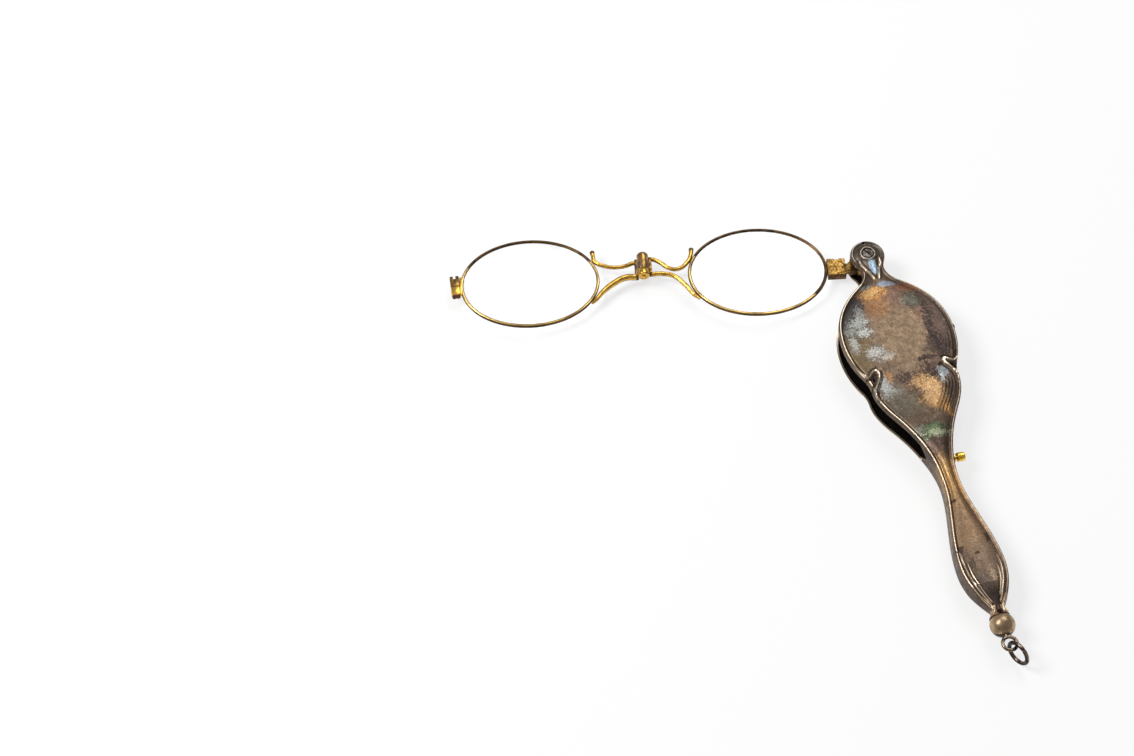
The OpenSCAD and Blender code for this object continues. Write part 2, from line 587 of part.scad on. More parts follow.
// Second lens, which folds over the first
module hinge_collar() color("gold") arm_frame() difference() {
    union() {
        translate([hinge_u, 0, hinge_z]) across(barrel_d, hinge_v0, hinge_v0 + collar_len);
        leaf(1, hinge_v0, hinge_v0 + collar_len);
    }
    translate([hinge_u, 0, hinge_z]) across(pin_d + 2 * 0.01, hinge_v0 - 1, hinge_v0 + 2 * collar_len);
}
module hinge_pin() color([0.6, 0.5, 0.3]) arm_frame() translate([hinge_u, 0, hinge_z])
    across(pin_d, hinge_v0 - 0.15, hinge_v0 + barrel_len - 1);
module far_bridge_wires() color("goldenrod") arm_frame() {
    leaf = hinge_u + leaf_u + leaf_t + 0.02;
    r = far_c - rim_a;
    wire([[leaf, 5.2], [leaf + 0.8, 5.1], [leaf + 2.4, 4.4], [lerp(leaf, r, 0.5), 4],
         [lerp(leaf, r, 0.82), 4.7],
          beside(far_c, 156, touch), beside(far_c, 150.6, touch + 0.64),
          beside(far_c, 146.3, touch + 1.48)], curl);
    wire([[leaf + 0.03, 0.3], [leaf + 2.9, 0.3], [lerp(leaf, r, 0.62), -1.6], [lerp(leaf, r, 0.91), -4.3],
          beside(far_c, 204, touch), beside(far_c, 211, touch - 0.25)], foot);
}
module far_rim() color([0.5, 0.4, 0.22]) arm_frame() rim(far_c, asin(joint_v / rim_b));
module far_lens() color([0.85, 0.9, 0.9, 0.4]) arm_frame() lens(far_c);
tube_u = far_c + rim_a + rim_t / 2 + tube_d / 2 + 0.04;
tube_z = lens_z + 0.15;
tube_lean = -5;
tube_bore = 0.9;
module tube_frame() arm_frame() translate([tube_u, joint_v, tube_z]) rotate([0, 0, tube_lean]) children();
module tube(v0, v1, d = tube_d) intersection() {
    across(d, v0, v1);
    slab(-tube_d, tube_d, v0, v1, -tube_h / 2, tube_h / 2);
}
module far_joint_upper() color("goldenrod") tube_frame() difference() {
    tube(0.03, tube_len / 2);
    across(tube_bore + 2 * clamp_gap, -1, tube_len);
    slab(-0.35, 0.35, tube_len / 2 - 0.9, tube_len, -tube_d, tube_d);
}
module far_joint_lower() color("goldenrod") tube_frame() difference() {
    tube(-tube_len / 2 + 0.45, -0.03);
    across(tube_bore + 2 * clamp_gap, -tube_len, 1);
}
module far_joint_screw() color([0.35, 0.16, 0.1]) tube_frame() difference() {
    union() {
        across(tube_bore, -tube_len / 2 + 0.3, tube_len / 2 - 1);
        tube(-tube_len / 2, -tube_len / 2 + 0.43, tube_d - 0.3);
    }
    slab(-screw_slot / 2, screw_slot / 2, -tube_len, -tube_len / 2 + 0.2, -tube_d, tube_d);
}

front_shell();
back_shell();
pivot_screw();
front_washer();
back_washer();
opening_spring();
spring_rivet();
button_bush();
catch_pin();
catch_spring();
ball_finial();
bail_eye();
pivot_arm();
near_joint_upper();
near_joint_lower();
near_joint_screw();
near_rim();
near_lens();
near_bridge_wires();
hinge_barrel();
bridge_spring();
hinge_collar();
hinge_pin();
far_bridge_wires();
far_rim();
far_lens();
far_joint_upper();
far_joint_lower();
far_joint_screw();
button_cap();
button_stem();
catch_lever();
bail_ring();
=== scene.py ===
# %% [markdown]
# # A folding lorgnette
# Two oval lenses on a sprung bridge fold over each other and swing into a slim hollow handle.
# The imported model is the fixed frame: it gives every part its place and says what moves with what.
# Each step below makes one piece or one finish and says why it is made that way.

# %% Load the frame
import json
import math

import bpy
import numpy as np
from mathutils import Matrix, Vector


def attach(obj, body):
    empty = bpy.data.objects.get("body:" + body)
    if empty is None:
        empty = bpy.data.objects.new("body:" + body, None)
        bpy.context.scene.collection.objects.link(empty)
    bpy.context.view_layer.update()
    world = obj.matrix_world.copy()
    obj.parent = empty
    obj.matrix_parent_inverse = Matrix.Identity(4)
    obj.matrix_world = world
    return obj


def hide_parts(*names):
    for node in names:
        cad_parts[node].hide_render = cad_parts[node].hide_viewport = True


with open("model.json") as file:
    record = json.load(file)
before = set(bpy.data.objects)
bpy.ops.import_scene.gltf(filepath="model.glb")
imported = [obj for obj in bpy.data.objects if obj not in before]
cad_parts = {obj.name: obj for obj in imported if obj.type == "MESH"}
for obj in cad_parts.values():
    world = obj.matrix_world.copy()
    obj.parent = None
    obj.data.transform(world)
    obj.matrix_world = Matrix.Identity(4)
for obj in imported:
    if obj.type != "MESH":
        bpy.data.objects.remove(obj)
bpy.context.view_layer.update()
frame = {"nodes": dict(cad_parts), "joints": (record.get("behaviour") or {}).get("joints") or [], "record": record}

joints = {joint["name"]: joint for joint in frame["joints"]}
PIVOT_Y = joints["arm_swing"]["pos_m"][1]
MM = 0.001

# %% [markdown]
# The camera stands where the photograph was taken: above the handle's lower end, looking down at about
# 56 degrees, with a slight roll because the real object rests tipped on its far lens.
# Three directions make a camera: its own right, its own up, and back, which points away from the scene.

# %% Camera
IMAGE_WIDTH, FOCAL_PIXELS, SENSOR_MM = 1134, 1950, 36
CAMERA_FROM_PIVOT = Vector((-0.13797, -0.30375, 0.43369))
CASE_TURN = math.radians(0.2)
TURN, RISE, ROLL = math.radians(-9.9) + CASE_TURN, math.radians(56.0), math.radians(-2.71)

level = Vector((math.cos(TURN), math.sin(TURN), 0))
back = Vector((math.sin(TURN) * math.cos(RISE), -math.cos(TURN) * math.cos(RISE), math.sin(RISE)))
upright = back.cross(level)
right = level * math.cos(ROLL) + upright * math.sin(ROLL)
up = -level * math.sin(ROLL) + upright * math.cos(ROLL)
camera_place = Matrix.Rotation(CASE_TURN, 3, "Z") @ CAMERA_FROM_PIVOT + Vector((0, PIVOT_Y, 0))

camera_data = bpy.data.cameras.new("camera")
camera_data.sensor_width = SENSOR_MM
camera_data.lens = SENSOR_MM * FOCAL_PIXELS / IMAGE_WIDTH
camera_data.clip_start = 0.01
camera = bpy.data.objects.new("camera", camera_data)
camera.matrix_world = Matrix.Translation(camera_place) @ Matrix((right, up, back)).transposed().to_4x4()
bpy.context.scene.collection.objects.link(camera)
bpy.context.scene.camera = camera
print("camera", [round(c, 4) for c in camera_place])

# %% [markdown]
# ## Helpers
# Lengths are written in millimetres. The case is measured from the pivot screw, down the handle along -y.
# The lenses are measured along their arm (u) and across it (v), also from the pivot screw.

# %% Places
ARM_TILT = math.radians(9.4)
ALONG = Vector((-math.cos(ARM_TILT), math.sin(ARM_TILT), 0))
ACROSS = Vector((math.sin(ARM_TILT), math.cos(ARM_TILT), 0))
UP_HANDLE = Vector((0, 1, 0))
UP = Vector((0, 0, 1))
SIDE = Vector((1, 0, 0))


def at(x, y, z):
    """A point of the case, given in millimetres from the pivot axis."""
    return Vector((x * MM, y * MM + PIVOT_Y, z * MM))


def on_arm(u, v, z):
    """A point of the lenses, given along and across the arm in millimetres."""
    return at(0, 0, z) + (ALONG * u + ACROSS * v) * MM


print("the arm leans", round(math.degrees(ARM_TILT), 1), "degrees")

# %% [markdown]
# An operator acts on whatever is selected, so nothing may stay selected by chance. The first two helpers see
# to that. The others apply a piece's modifiers, soften its edges, cut it, copy it, or join it with others.

# %% Selecting, applying and copying
def bare():
    """Nothing selected, so an operator only works on what comes next."""
    bpy.ops.object.select_all(action="DESELECT")


def only(piece):
    """Just this piece selected and active."""
    bare()
    bpy.context.view_layer.objects.active = piece
    piece.select_set(True)
    return piece


def apply_all(piece):
    """Turns a piece's modifiers into its mesh."""
    only(piece)
    for modifier in list(piece.modifiers):
        bpy.ops.object.modifier_apply(modifier=modifier.name)
    return piece


def bevelled(piece, width, segments=2, angle=40):
    """Rounds the edges that are sharper than the angle."""
    made = piece.modifiers.new("soft_edges", "BEVEL")
    made.width = width * MM
    made.segments = segments
    made.limit_method = "ANGLE"
    made.angle_limit = math.radians(angle)
    return apply_all(piece)


def cut_away(piece, cutter):
    """Takes the cutter's shape out of the piece, as a file or a saw does."""
    cut = piece.modifiers.new("cut", "BOOLEAN")
    cut.operation = "DIFFERENCE"
    cut.object = cutter
    apply_all(piece)
    bpy.data.objects.remove(cutter)
    return piece


def copied(piece):
    """A copy with a mesh of its own."""
    twin = piece.copy()
    twin.data = piece.data.copy()
    bpy.context.scene.collection.objects.link(twin)
    return twin


def joined(first, *others):
    """Several meshes made into one piece."""
    only(first)
    for other in others:
        other.select_set(True)
    bpy.ops.object.join()
    return first


print("shaping helpers ready")

# %% [markdown]
# Every finished piece goes through one door. Its place is moved into its mesh, doubled points are merged,
# open ends are filled, the faces are turned outwards and shaded smooth below a chosen angle. Then it gets its
# finish, the body it moves with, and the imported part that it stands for.


def fill_openings():
    """In edit mode: closes every open rim with a face."""
    bpy.ops.mesh.select_all(action="DESELECT")
    bpy.ops.mesh.select_mode(type="EDGE")
    bpy.ops.mesh.select_non_manifold()
    bpy.ops.mesh.fill()
    bpy.ops.mesh.select_mode(type="VERT")
    bpy.ops.mesh.select_all(action="SELECT")


def settle(piece, name, body, material, replaced=(), sharp=40, close=False):
    """Applies the place, merges doubles, smooths, gives the finish and hangs the piece on its body."""
    only(piece)
    piece.name = name
    bpy.ops.object.transform_apply(location=True, rotation=True, scale=True)
    bpy.ops.object.mode_set(mode="EDIT")
    bpy.ops.mesh.select_all(action="SELECT")
    bpy.ops.mesh.remove_doubles(threshold=1e-6)
    if close:
        fill_openings()
    bpy.ops.mesh.normals_make_consistent(inside=False)
    bpy.ops.object.mode_set(mode="OBJECT")
    bpy.ops.object.shade_smooth_by_angle(angle=math.radians(sharp))
    if material:
        piece.data.materials.clear()
        piece.data.materials.append(material)
    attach(piece, body)
    if replaced:
        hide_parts(*replaced)
    return piece


# %% [markdown]
# Some parts get a second, darker finish on whole faces: painted shade on those that turn away from the light,
# or a second finish on the faces in a chosen region.

# %% Second finishes
def paint_shade_on_sides(piece, finish, limit, toward=(0, 0, 1)):
    """Gives a second finish to the faces that turn away from a direction: painted shade where the light does not
    fall.
    """
    piece.data.materials.append(finish)
    toward = Vector(toward)
    for face in piece.data.polygons:
        if face.normal.dot(toward) < limit:
            face.material_index = len(piece.data.materials) - 1
    return piece


def finish_where(piece, finish, test):
    """Gives a second finish to the faces whose centre, in millimetres from the pivot, passes the test."""
    piece.data.materials.append(finish)
    for face in piece.data.polygons:
        if test((face.center - at(0, 0, 0)) / MM):
            face.material_index = len(piece.data.materials) - 1
    return piece


print("second finishes ready")

# %% [markdown]
# Pressed and turned metal has no primitive of its own. Both start from a flat grid that is wrapped: each of
# its points is moved to the place that its row and column stand for. A lathe piece is such a grid, with the
# profile in its rows and the turn in its columns.

# %% Wrapping and turning
def wrapped(rows, columns, place, chase=None):
    """A grid whose points are moved to place(row, column); chase(row, column) is kept with each point."""
    bare()
    bpy.ops.mesh.primitive_grid_add(x_subdivisions=columns, y_subdivisions=rows, size=2)
    piece = bpy.context.object
    points = np.empty(len(piece.data.vertices) * 3)
    piece.data.vertices.foreach_get("co", points)
    points = points.reshape(-1, 3)
    column = np.rint((points[:, 0] + 1) / 2 * columns).astype(int)
    row = np.rint((points[:, 1] + 1) / 2 * rows).astype(int)
    piece.data.vertices.foreach_set("co", np.ascontiguousarray(place(row, column)).ravel())
    if chase:
        kept = piece.data.attributes.new("chase", "FLOAT", "POINT")
        kept.data.foreach_set("value", chase(row, column))
    piece.data.update()
    return piece


def square_to(axis):
    """Two directions square to an axis and to each other."""
    first = np.cross(axis, (0, 0, 1) if abs(axis[2]) < 0.9 else (1, 0, 0))
    first /= np.linalg.norm(first)
    return first, np.cross(axis, first)


def turned(profile, start, axis, sides=48):
    """A lathe piece: profile rows give the distance along the axis and the radius, in millimetres."""
    axis = np.array(axis)
    first, second = square_to(axis)
    profile = np.array(profile, float)

    def place(row, column):
        angle = 2 * np.pi * (column % sides) / sides
        along, radius = profile[row, 0][:, None], profile[row, 1][:, None]
        ring = np.cos(angle)[:, None] * first + np.sin(angle)[:, None] * second
        return np.array(start) + (axis * along + ring * radius) * MM
    return wrapped(len(profile) - 1, sides, place)


def arc(centre, radius, start, end, steps):
    """Profile rows on a round corner: angles in degrees, 0 along the radius, 90 along the axis."""
    return [(centre[0] + radius * math.sin(math.radians(a)), centre[1] + radius * math.cos(math.radians(a)))
            for a in np.linspace(start, end, steps)]


print("a corner of 1 mm:", [tuple(round(c, 2) for c in row) for row in arc((0, 0), 1, 0, 90, 3)])

# %% [markdown]
# ## Materials
# Colours are easier to judge as they look on a screen, so they are written as 0 to 255 values and turned
# into the linear values that a shader needs. Every finish starts as one Principled shader.

# %% Colours and materials
def paint(r, g, b):
    """A colour as it looks on a screen, turned into the shader's own values."""
    def straight(c):
        c /= 255
        return c / 12.92 if c <= 0.04045 else ((c + 0.055) / 1.055) ** 2.4
    return (straight(r), straight(g), straight(b), 1)


def new_material(name):
    """A material with one Principled shader."""
    material = bpy.data.materials.new(name)
    material.use_nodes = True
    tree = material.node_tree
    tree.nodes.clear()
    out = tree.nodes.new("ShaderNodeOutputMaterial")
    shader = tree.nodes.new("ShaderNodeBsdfPrincipled")
    tree.links.new(shader.outputs[0], out.inputs[0])
    return material, tree, shader


print("mid grey is", round(paint(128, 128, 128)[0], 3), "to a shader")

# %% [markdown]
# A shader is a net of small nodes. Each of these helpers places one of them and returns what comes out of it,
# so a finish can be read from top to bottom.

# %% Node shorthand
def node(tree, kind, **settings):
    """A node of a kind, with its settings."""
    made = tree.nodes.new("ShaderNode" + kind)
    for key, value in settings.items():
        setattr(made, key, value)
    return made


def feed(tree, value, socket):
    """Links a socket, or writes a plain value."""
    if isinstance(value, bpy.types.NodeSocket):
        tree.links.new(value, socket)
    else:
        socket.default_value = value


def maths(tree, operation, a, b):
    """One sum of two values."""
    made = node(tree, "Math", operation=operation)
    feed(tree, a, made.inputs[0])
    feed(tree, b, made.inputs[1])
    return made.outputs[0]


def blended(tree, mask, a, b, kind="RGBA"):
    """From a to b, as the mask goes from 0 to 1."""
    made = node(tree, "Mix", data_type=kind)
    first, second, out = {"RGBA": (6, 7, 2), "FLOAT": (2, 3, 0)}[kind]
    feed(tree, mask, made.inputs[0])
    feed(tree, a, made.inputs[first])
    feed(tree, b, made.inputs[second])
    return made.outputs[out]


def spread(tree, value, low, high, out_low=0.0, out_high=1.0):
    """Stretches a value from one range to another, with soft ends."""
    made = node(tree, "MapRange", interpolation_type="SMOOTHSTEP")
    for given, socket in zip((value, low, high, out_low, out_high), made.inputs):
        feed(tree, given, socket)
    return made.outputs[0]


def object_place(tree):
    """Each point's place on the piece itself, so a pattern moves with it."""
    return node(tree, "TexCoord").outputs["Object"]


def noise(tree, place, scale, detail, roughness, distortion=0.0):
    """Cloudy noise: the larger the scale, the finer its grain."""
    made = node(tree, "TexNoise")
    for key, value in (("Vector", place), ("Scale", scale), ("Detail", detail), ("Roughness", roughness),
                       ("Distortion", distortion)):
        feed(tree, value, made.inputs[key])
    return made.outputs[0]


def bump(tree, shader, height, strength, distance):
    """Lets a height tilt the surface a little."""
    made = node(tree, "Bump")
    made.inputs["Strength"].default_value = strength
    made.inputs["Distance"].default_value = distance
    feed(tree, height, made.inputs["Height"])
    tree.links.new(made.outputs[0], shader.inputs["Normal"])


print("node helpers ready")

# %% [markdown]
# What several finishes share is a node group, built once and placed in each of them with its own values.
# The first group is a patch: an oval whose edge is broken up by noise, with a mask for the colour inside it.

# %% Groups and the patch
def new_group(name, inputs, outputs):
    """A shader node group, with the sockets that lead in and out of it."""
    group = bpy.data.node_groups.new(name, "ShaderNodeTree")
    for direction, sockets in (("INPUT", inputs), ("OUTPUT", outputs)):
        for socket, kind in sockets.items():
            group.interface.new_socket(name=socket, in_out=direction, socket_type="NodeSocket" + kind)
    return group, group.nodes.new("NodeGroupInput").outputs, group.nodes.new("NodeGroupOutput").inputs


def use_group(tree, group, values):
    """The group placed in a material, with its own values."""
    made = tree.nodes.new("ShaderNodeGroup")
    made.node_tree = group
    for socket, value in values.items():
        feed(tree, value, made.inputs[socket])
    return made.outputs


def build_patch_group():
    """A ragged oval patch round a centre, with its mask 1 inside and 0 outside."""
    inputs = {"Place": "Vector", "Centre": "Vector", "Reach": "Vector"}
    inputs.update({"Softness": "Float", "Ragged": "Float", "Grain": "Float"})
    group, given, leave = new_group("tarnish_patch", inputs, {"Mask": "Float"})
    away = node(group, "VectorMath", operation="SUBTRACT")
    scaled = node(group, "VectorMath", operation="DIVIDE")
    length = node(group, "VectorMath", operation="LENGTH")
    feed(group, given["Place"], away.inputs[0])
    feed(group, given["Centre"], away.inputs[1])
    feed(group, away.outputs[0], scaled.inputs[0])
    feed(group, given["Reach"], scaled.inputs[1])
    feed(group, scaled.outputs[0], length.inputs[0])
    rough = noise(group, given["Place"], given["Grain"], 6, 0.68)
    wobble = maths(group, "MULTIPLY", maths(group, "SUBTRACT", rough, 0.5), given["Ragged"])
    edge = maths(group, "ADD", length.outputs["Value"], wobble)
    near = maths(group, "SUBTRACT", 1.0, given["Softness"])
    far = maths(group, "ADD", 1.0, given["Softness"])
    feed(group, spread(group, edge, near, far, 1.0, 0.0), leave["Mask"])
    return group


patch_group = build_patch_group()
print("group", patch_group.name)

# %% [markdown]
# The second group is what use does to a plate, with painted light on top: a fine grain, specks that shine, small
# pits, a painted highlight with wear on the ridges, and painted shade with dirt beside them. The ridges are told
# by a number that the panel's mesh keeps for each point.

# %% Wear and painted light of the plate
def build_wear_and_light_group():
    """Grain, specks and pits over a colour; Chase is 1 for a painted highlight with wear and -1 for painted shade
    with dirt.
    """
    group, given, leave = new_group("plate_wear_and_light", {"Place": "Vector", "Colour": "Color", "Chase": "Float"},
                                    {"Colour": "Color", "Roughness": "Float", "Height": "Float"})
    place, chase = given["Place"], given["Chase"]
    grain = noise(group, place, 2600, 6, 0.7)
    colour = blended(group, spread(group, grain, 0.3, 0.62, 0.7, 0.0), given["Colour"], paint(58, 46, 38))
    shine = noise(group, place, 3400, 4, 0.7)
    colour = blended(group, spread(group, shine, 0.56, 0.8, 0.0, 0.5), colour, paint(208, 192, 168))
    pits = spread(group, noise(group, place, 1500, 3, 0.8), 0.68, 0.75)
    colour = blended(group, maths(group, "MULTIPLY", pits, 0.7), colour, paint(40, 30, 26))
    uneven = spread(group, grain, 0.3, 0.55, 0.5, 1.0)
    worn_and_lit = maths(group, "MULTIPLY", spread(group, chase, 0.2, 1.0), uneven)
    dirt_and_shade = maths(group, "MULTIPLY", spread(group, chase, -0.9, -0.1, 1.0, 0.0), 0.88)
    # painted highlight with wear: a light cream on the ridge tops
    colour = blended(group, worn_and_lit, colour, paint(242, 220, 192))
    # painted shade with dirt: a dark brown beside the ridges
    colour = blended(group, dirt_and_shade, colour, paint(34, 26, 22))
    rough = spread(group, noise(group, place, 700, 5, 0.65), 0.3, 0.7, 0.36, 0.56)
    rough = blended(group, worn_and_lit, rough, 0.22, "FLOAT")
    feed(group, colour, leave["Colour"])
    feed(group, blended(group, dirt_and_shade, rough, 0.7, "FLOAT"), leave["Roughness"])
    feed(group, maths(group, "ADD", grain, maths(group, "MULTIPLY", pits, -0.8)), leave["Height"])
    return group


wear_and_light_group = build_wear_and_light_group()
print("group", wear_and_light_group.name)

# %% [markdown]
# The case is plated brass worn through in patches, so its colour is built in layers: a brown ground, then
# patches laid over it. Each row is one patch of the panel, with its centre, its reach, its colour, how soft
# and how ragged its edge is, and how strongly it covers what lies under it.

# %% Patches of the case
PATCHES = [
    ((1, -28), (8, 11), (136, 114, 90), 0.6, 0.9, 0.9),
    ((-11.5, -31), (3.4, 7), (118, 102, 72), 0.5, 1.2, 0.8),
    ((5, -15), (6, 4.5), (118, 92, 78), 0.5, 1.0, 0.75),
    ((-3, -17.5), (3.4, 4.0), (148, 104, 66), 0.6, 1.6, 0.75),
    ((-2.8, -13.5), (3.8, 2.2), (176, 122, 66), 0.25, 2.6, 0.8),
    ((-3.4, -13.2), (3.0, 1.5), (222, 180, 118), 0.08, 5.6, 0.7),
    ((7.4, -13.2), (3.6, 1.4), (146, 88, 54), 0.3, 3.0, 0.6),
    ((-9.6, -16.5), (3.4, 3.0), (58, 56, 60), 0.25, 2.2, 0.9),
    ((-12.6, -21), (2.8, 4.6), (62, 58, 58), 0.3, 1.8, 0.85),
    ((-10.4, -23.4), (3.2, 4.2), (84, 82, 78), 0.3, 3.4, 0.7),
    ((-8.2, -19.4), (1.2, 2.6), (146, 150, 146), 0.06, 5.7, 0.65),
    ((-9.4, -22.2), (2.4, 1.5), (176, 180, 176), 0.05, 5.9, 0.75),
    ((-8.6, -25.4), (1.9, 1.3), (200, 202, 196), 0.05, 5.9, 0.8),
    ((-12.2, -24.2), (2.2, 1.2), (150, 152, 146), 0.05, 5.8, 0.7),
    ((-12.2, -28.4), (1.0, 2.6), (176, 178, 172), 0.05, 5.7, 0.8),
    ((-7.0, -33), (3.0, 2.4), (128, 120, 110), 0.3, 2.6, 0.7),
    ((-7.8, -32.2), (2.0, 1.7), (188, 188, 182), 0.05, 5.9, 0.8),
    ((-5.0, -34.2), (1.8, 1.2), (170, 164, 154), 0.08, 5.6, 0.75),
    ((7.0, -18.2), (2.7, 2.8), (60, 58, 50), 0.1, 3.6, 0.9),
    ((6.4, -17.8), (2.0, 1.6), (104, 106, 92), 0.08, 5.6, 0.7),
    ((7.0, -23), (2.2, 2.6), (140, 108, 90), 0.5, 1.4, 0.5),
    ((12.2, -27.5), (3.6, 9.4), (74, 60, 54), 0.08, 3.0, 0.92),
    ((8.6, -33.0), (2.9, 4.0), (70, 54, 48), 0.08, 4.2, 0.9),
    ((9.4, -28.0), (1.5, 7.0), (44, 36, 36), 0.08, 5.2, 0.85),
    ((10.6, -33.0), (2.0, 3.4), (40, 32, 32), 0.08, 5.6, 0.8),
    ((11.4, -27.0), (1.8, 5.0), (112, 92, 80), 0.08, 5.6, 0.6),
    ((4.9, -36.8), (2.4, 0.8), (44, 32, 30), 0.1, 4.0, 0.9),
    ((0.2, -42), (4.4, 1.5), (52, 38, 34), 0.06, 5.4, 0.85),
    ((4.6, -41.5), (2.8, 3.0), (52, 38, 34), 0.06, 5.6, 0.85),
    ((1.6, -47), (4.2, 4.8), (166, 126, 82), 0.3, 2.6, 0.9),
    ((3.8, -51), (2.2, 2.2), (176, 130, 76), 0.35, 2.2, 0.85),
    ((2.6, -47.5), (3.4, 4.0), (206, 170, 122), 0.08, 5.6, 0.6),
    ((5.4, -53.6), (1.0, 1.8), (196, 140, 74), 0.2, 3.6, 0.8),
    ((-1.6, -51.5), (2.6, 2.0), (60, 56, 48), 0.08, 5.6, 0.7),
    ((-1.4, -47.3), (2.2, 2.2), (54, 40, 34), 0.06, 5.6, 0.85),
    ((-7.6, -43.6), (2.2, 3.2), (116, 112, 104), 0.3, 2.4, 0.7),
    ((-8.2, -43.2), (1.3, 3.2), (188, 190, 188), 0.08, 5.7, 0.75),
    ((-6.2, -45.6), (1.8, 1.4), (168, 168, 160), 0.08, 5.6, 0.75),
    # painted highlight: a small white spot in the hollow of the left scroll
    ((-10.4, -40.2), (0.5, 0.9), (232, 214, 206), 0.25, 1.2, 0.9),
    ((-6.6, -40.4), (0.9, 1.8), (170, 120, 74), 0.1, 4.5, 0.7),
    ((8.0, -41.8), (1.5, 1.5), (150, 160, 166), 0.12, 4.6, 0.8),
    ((7.2, -43.6), (0.5, 1.6), (180, 188, 190), 0.1, 4.6, 0.8),
    ((-5.2, -49), (3.6, 4.4), (102, 96, 82), 0.5, 1.6, 0.8),
    ((0, -54.3), (6, 2.2), (94, 78, 64), 0.4, 1.4, 0.8),
    ((-1.2, -58.8), (5.2, 2.6), (58, 62, 50), 0.15, 2.6, 0.85),
    ((-0.2, -58.2), (3.2, 1.6), (78, 104, 68), 0.06, 5.7, 0.8),
    ((0.4, -59.4), (2.6, 1.2), (200, 204, 168), 0.06, 6.1, 0.55),
    ((-3.6, -57.6), (1.6, 1.2), (140, 136, 122), 0.08, 5.8, 0.6),
    ((0, -64), (3, 3.4), (84, 66, 58), 0.4, 1.6, 0.85),
    ((0, -74), (3.0, 7.5), (186, 146, 92), 0.5, 1.6, 0.85),
    ((0, -86), (4.8, 9), (152, 122, 92), 0.5, 1.4, 0.8),
    ((1.2, -98), (4.2, 6), (132, 110, 92), 0.5, 1.2, 0.8),
    ((-2.0, -79), (1.1, 0.5), (44, 34, 28), 0.1, 4.0, 0.9),
    ((-4.4, -92.6), (1.0, 1.1), (52, 42, 36), 0.1, 4.0, 0.85),
    ((3.4, -90.5), (0.6, 1.4), (56, 46, 40), 0.1, 4.0, 0.8),
    ((-0.5, -94.6), (0.8, 0.35), (46, 34, 30), 0.1, 3.0, 0.9),
    ((0, -106.8), (1.6, 2.4), (62, 56, 52), 0.7, 2.4, 0.75),
    ((-1.4, -102.2), (1.6, 2.4), (84, 76, 70), 0.3, 4.8, 0.65),
    ((1.6, -101.4), (0.7, 1.6), (200, 178, 146), 0.08, 5.9, 0.5),
    ((-2.6, -97.4), (0.9, 1.6), (74, 64, 56), 0.1, 5.2, 0.65),
    ((0, 1), (4.8, 4.8), (98, 92, 84), 0.3, 0.8, 0.85),
    ((0.1, -4.7), (1.2, 2.7), (178, 202, 222), 0.12, 1.4, 0.92),
    ((1.8, -11.2), (2.6, 0.9), (150, 160, 178), 0.15, 2.6, 0.85),
    ((-4.3, -10.9), (1.5, 0.8), (160, 166, 166), 0.15, 3.0, 0.75),
]
BACK_PATCHES = [
    ((2, -24), (9, 9), (146, 122, 92), 0.5, 1.2, 0.7),
    ((-6, -38), (6, 7), (100, 92, 84), 0.4, 1.6, 0.7),
    ((5, -45), (4, 5), (172, 130, 82), 0.4, 1.8, 0.6),
    ((0, -96), (4, 8), (138, 112, 88), 0.5, 1.4, 0.6),
]
print("patches in front", len(PATCHES), "behind", len(BACK_PATCHES))

# %% [markdown]
# The plate's finish lays the patches over its ground one after another, like coats of paint, and the wear
# over all of them. A patch with a more broken edge also gets a finer grain.

# %% Case plate
PATCH_Z, FINE_GRAIN = 8.5, 700


def case_material(name, patches):
    """The plate of one panel: a brown ground, its patches, and the wear over all of them."""
    material, tree, shader = new_material(name)
    place = object_place(tree)
    cloud = spread(tree, noise(tree, place, 160, 5, 0.6), 0.35, 0.65)
    colour = blended(tree, cloud, paint(86, 70, 60), paint(122, 102, 84))
    for centre, reach, shade, softness, ragged, strength in patches:
        values = {"Place": place, "Centre": at(*centre, PATCH_Z), "Reach": (reach[0] * MM, reach[1] * MM, 1),
                  "Softness": softness, "Ragged": ragged, "Grain": FINE_GRAIN + 220 * max(ragged - 1.2, 0)}
        mask = use_group(tree, patch_group, values)["Mask"]
        colour = blended(tree, maths(tree, "MULTIPLY", mask, strength), colour, paint(*shade))
    chase = node(tree, "Attribute", attribute_name="chase").outputs["Fac"]
    worn_and_lit = use_group(tree, wear_and_light_group, {"Place": place, "Colour": colour, "Chase": chase})
    feed(tree, worn_and_lit["Colour"], shader.inputs["Base Color"])
    feed(tree, worn_and_lit["Roughness"], shader.inputs["Roughness"])
    shader.inputs["Metallic"].default_value = 0.78
    bump(tree, shader, worn_and_lit["Height"], 0.25, 0.00006)
    return material


case_front = case_material("case_front", PATCHES)
case_back = case_material("case_back", BACK_PATCHES)
print("plates", case_front.name, case_back.name)

# %% [markdown]
# Gilt brass is bright yellow where it is handled and brown in the hollows and towards the ends, and steel
# follows the same plan with other colours. So one node group makes the masks for all of them: where bright
# metal is left, where the dark specks are, and the fine grain that tilts the surface.

# %% Tarnish
def build_tarnish_group():
    """Cloud is 1 on bright metal, Flecks is 1 on the dark specks, and Grain is a fine height."""
    group, given, leave = new_group("tarnish", {"Place": "Vector", "Scale": "Float", "Share": "Float"},
                                    {"Cloud": "Float", "Flecks": "Float", "Grain": "Float"})
    place, scale, share = given["Place"], given["Scale"], given["Share"]
    low = maths(group, "SUBTRACT", share, 0.16)
    high = maths(group, "ADD", share, 0.16)
    feed(group, spread(group, noise(group, place, scale, 6, 0.65, 0.4), low, high), leave["Cloud"])
    specks = noise(group, place, maths(group, "MULTIPLY", scale, 3.2), 4, 0.75)
    feed(group, spread(group, specks, 0.62, 0.72), leave["Flecks"])
    feed(group, noise(group, place, maths(group, "MULTIPLY", scale, 2.0), 5, 0.7), leave["Grain"])
    return group


tarnish_group = build_tarnish_group()
print("group", tarnish_group.name)

# %% [markdown]
# Each finish places that group with its own grain and its own share of bright metal. Its first colour is the
# bright metal, its second the dull one. Roughness follows the same mask, because tarnish is also less smooth.

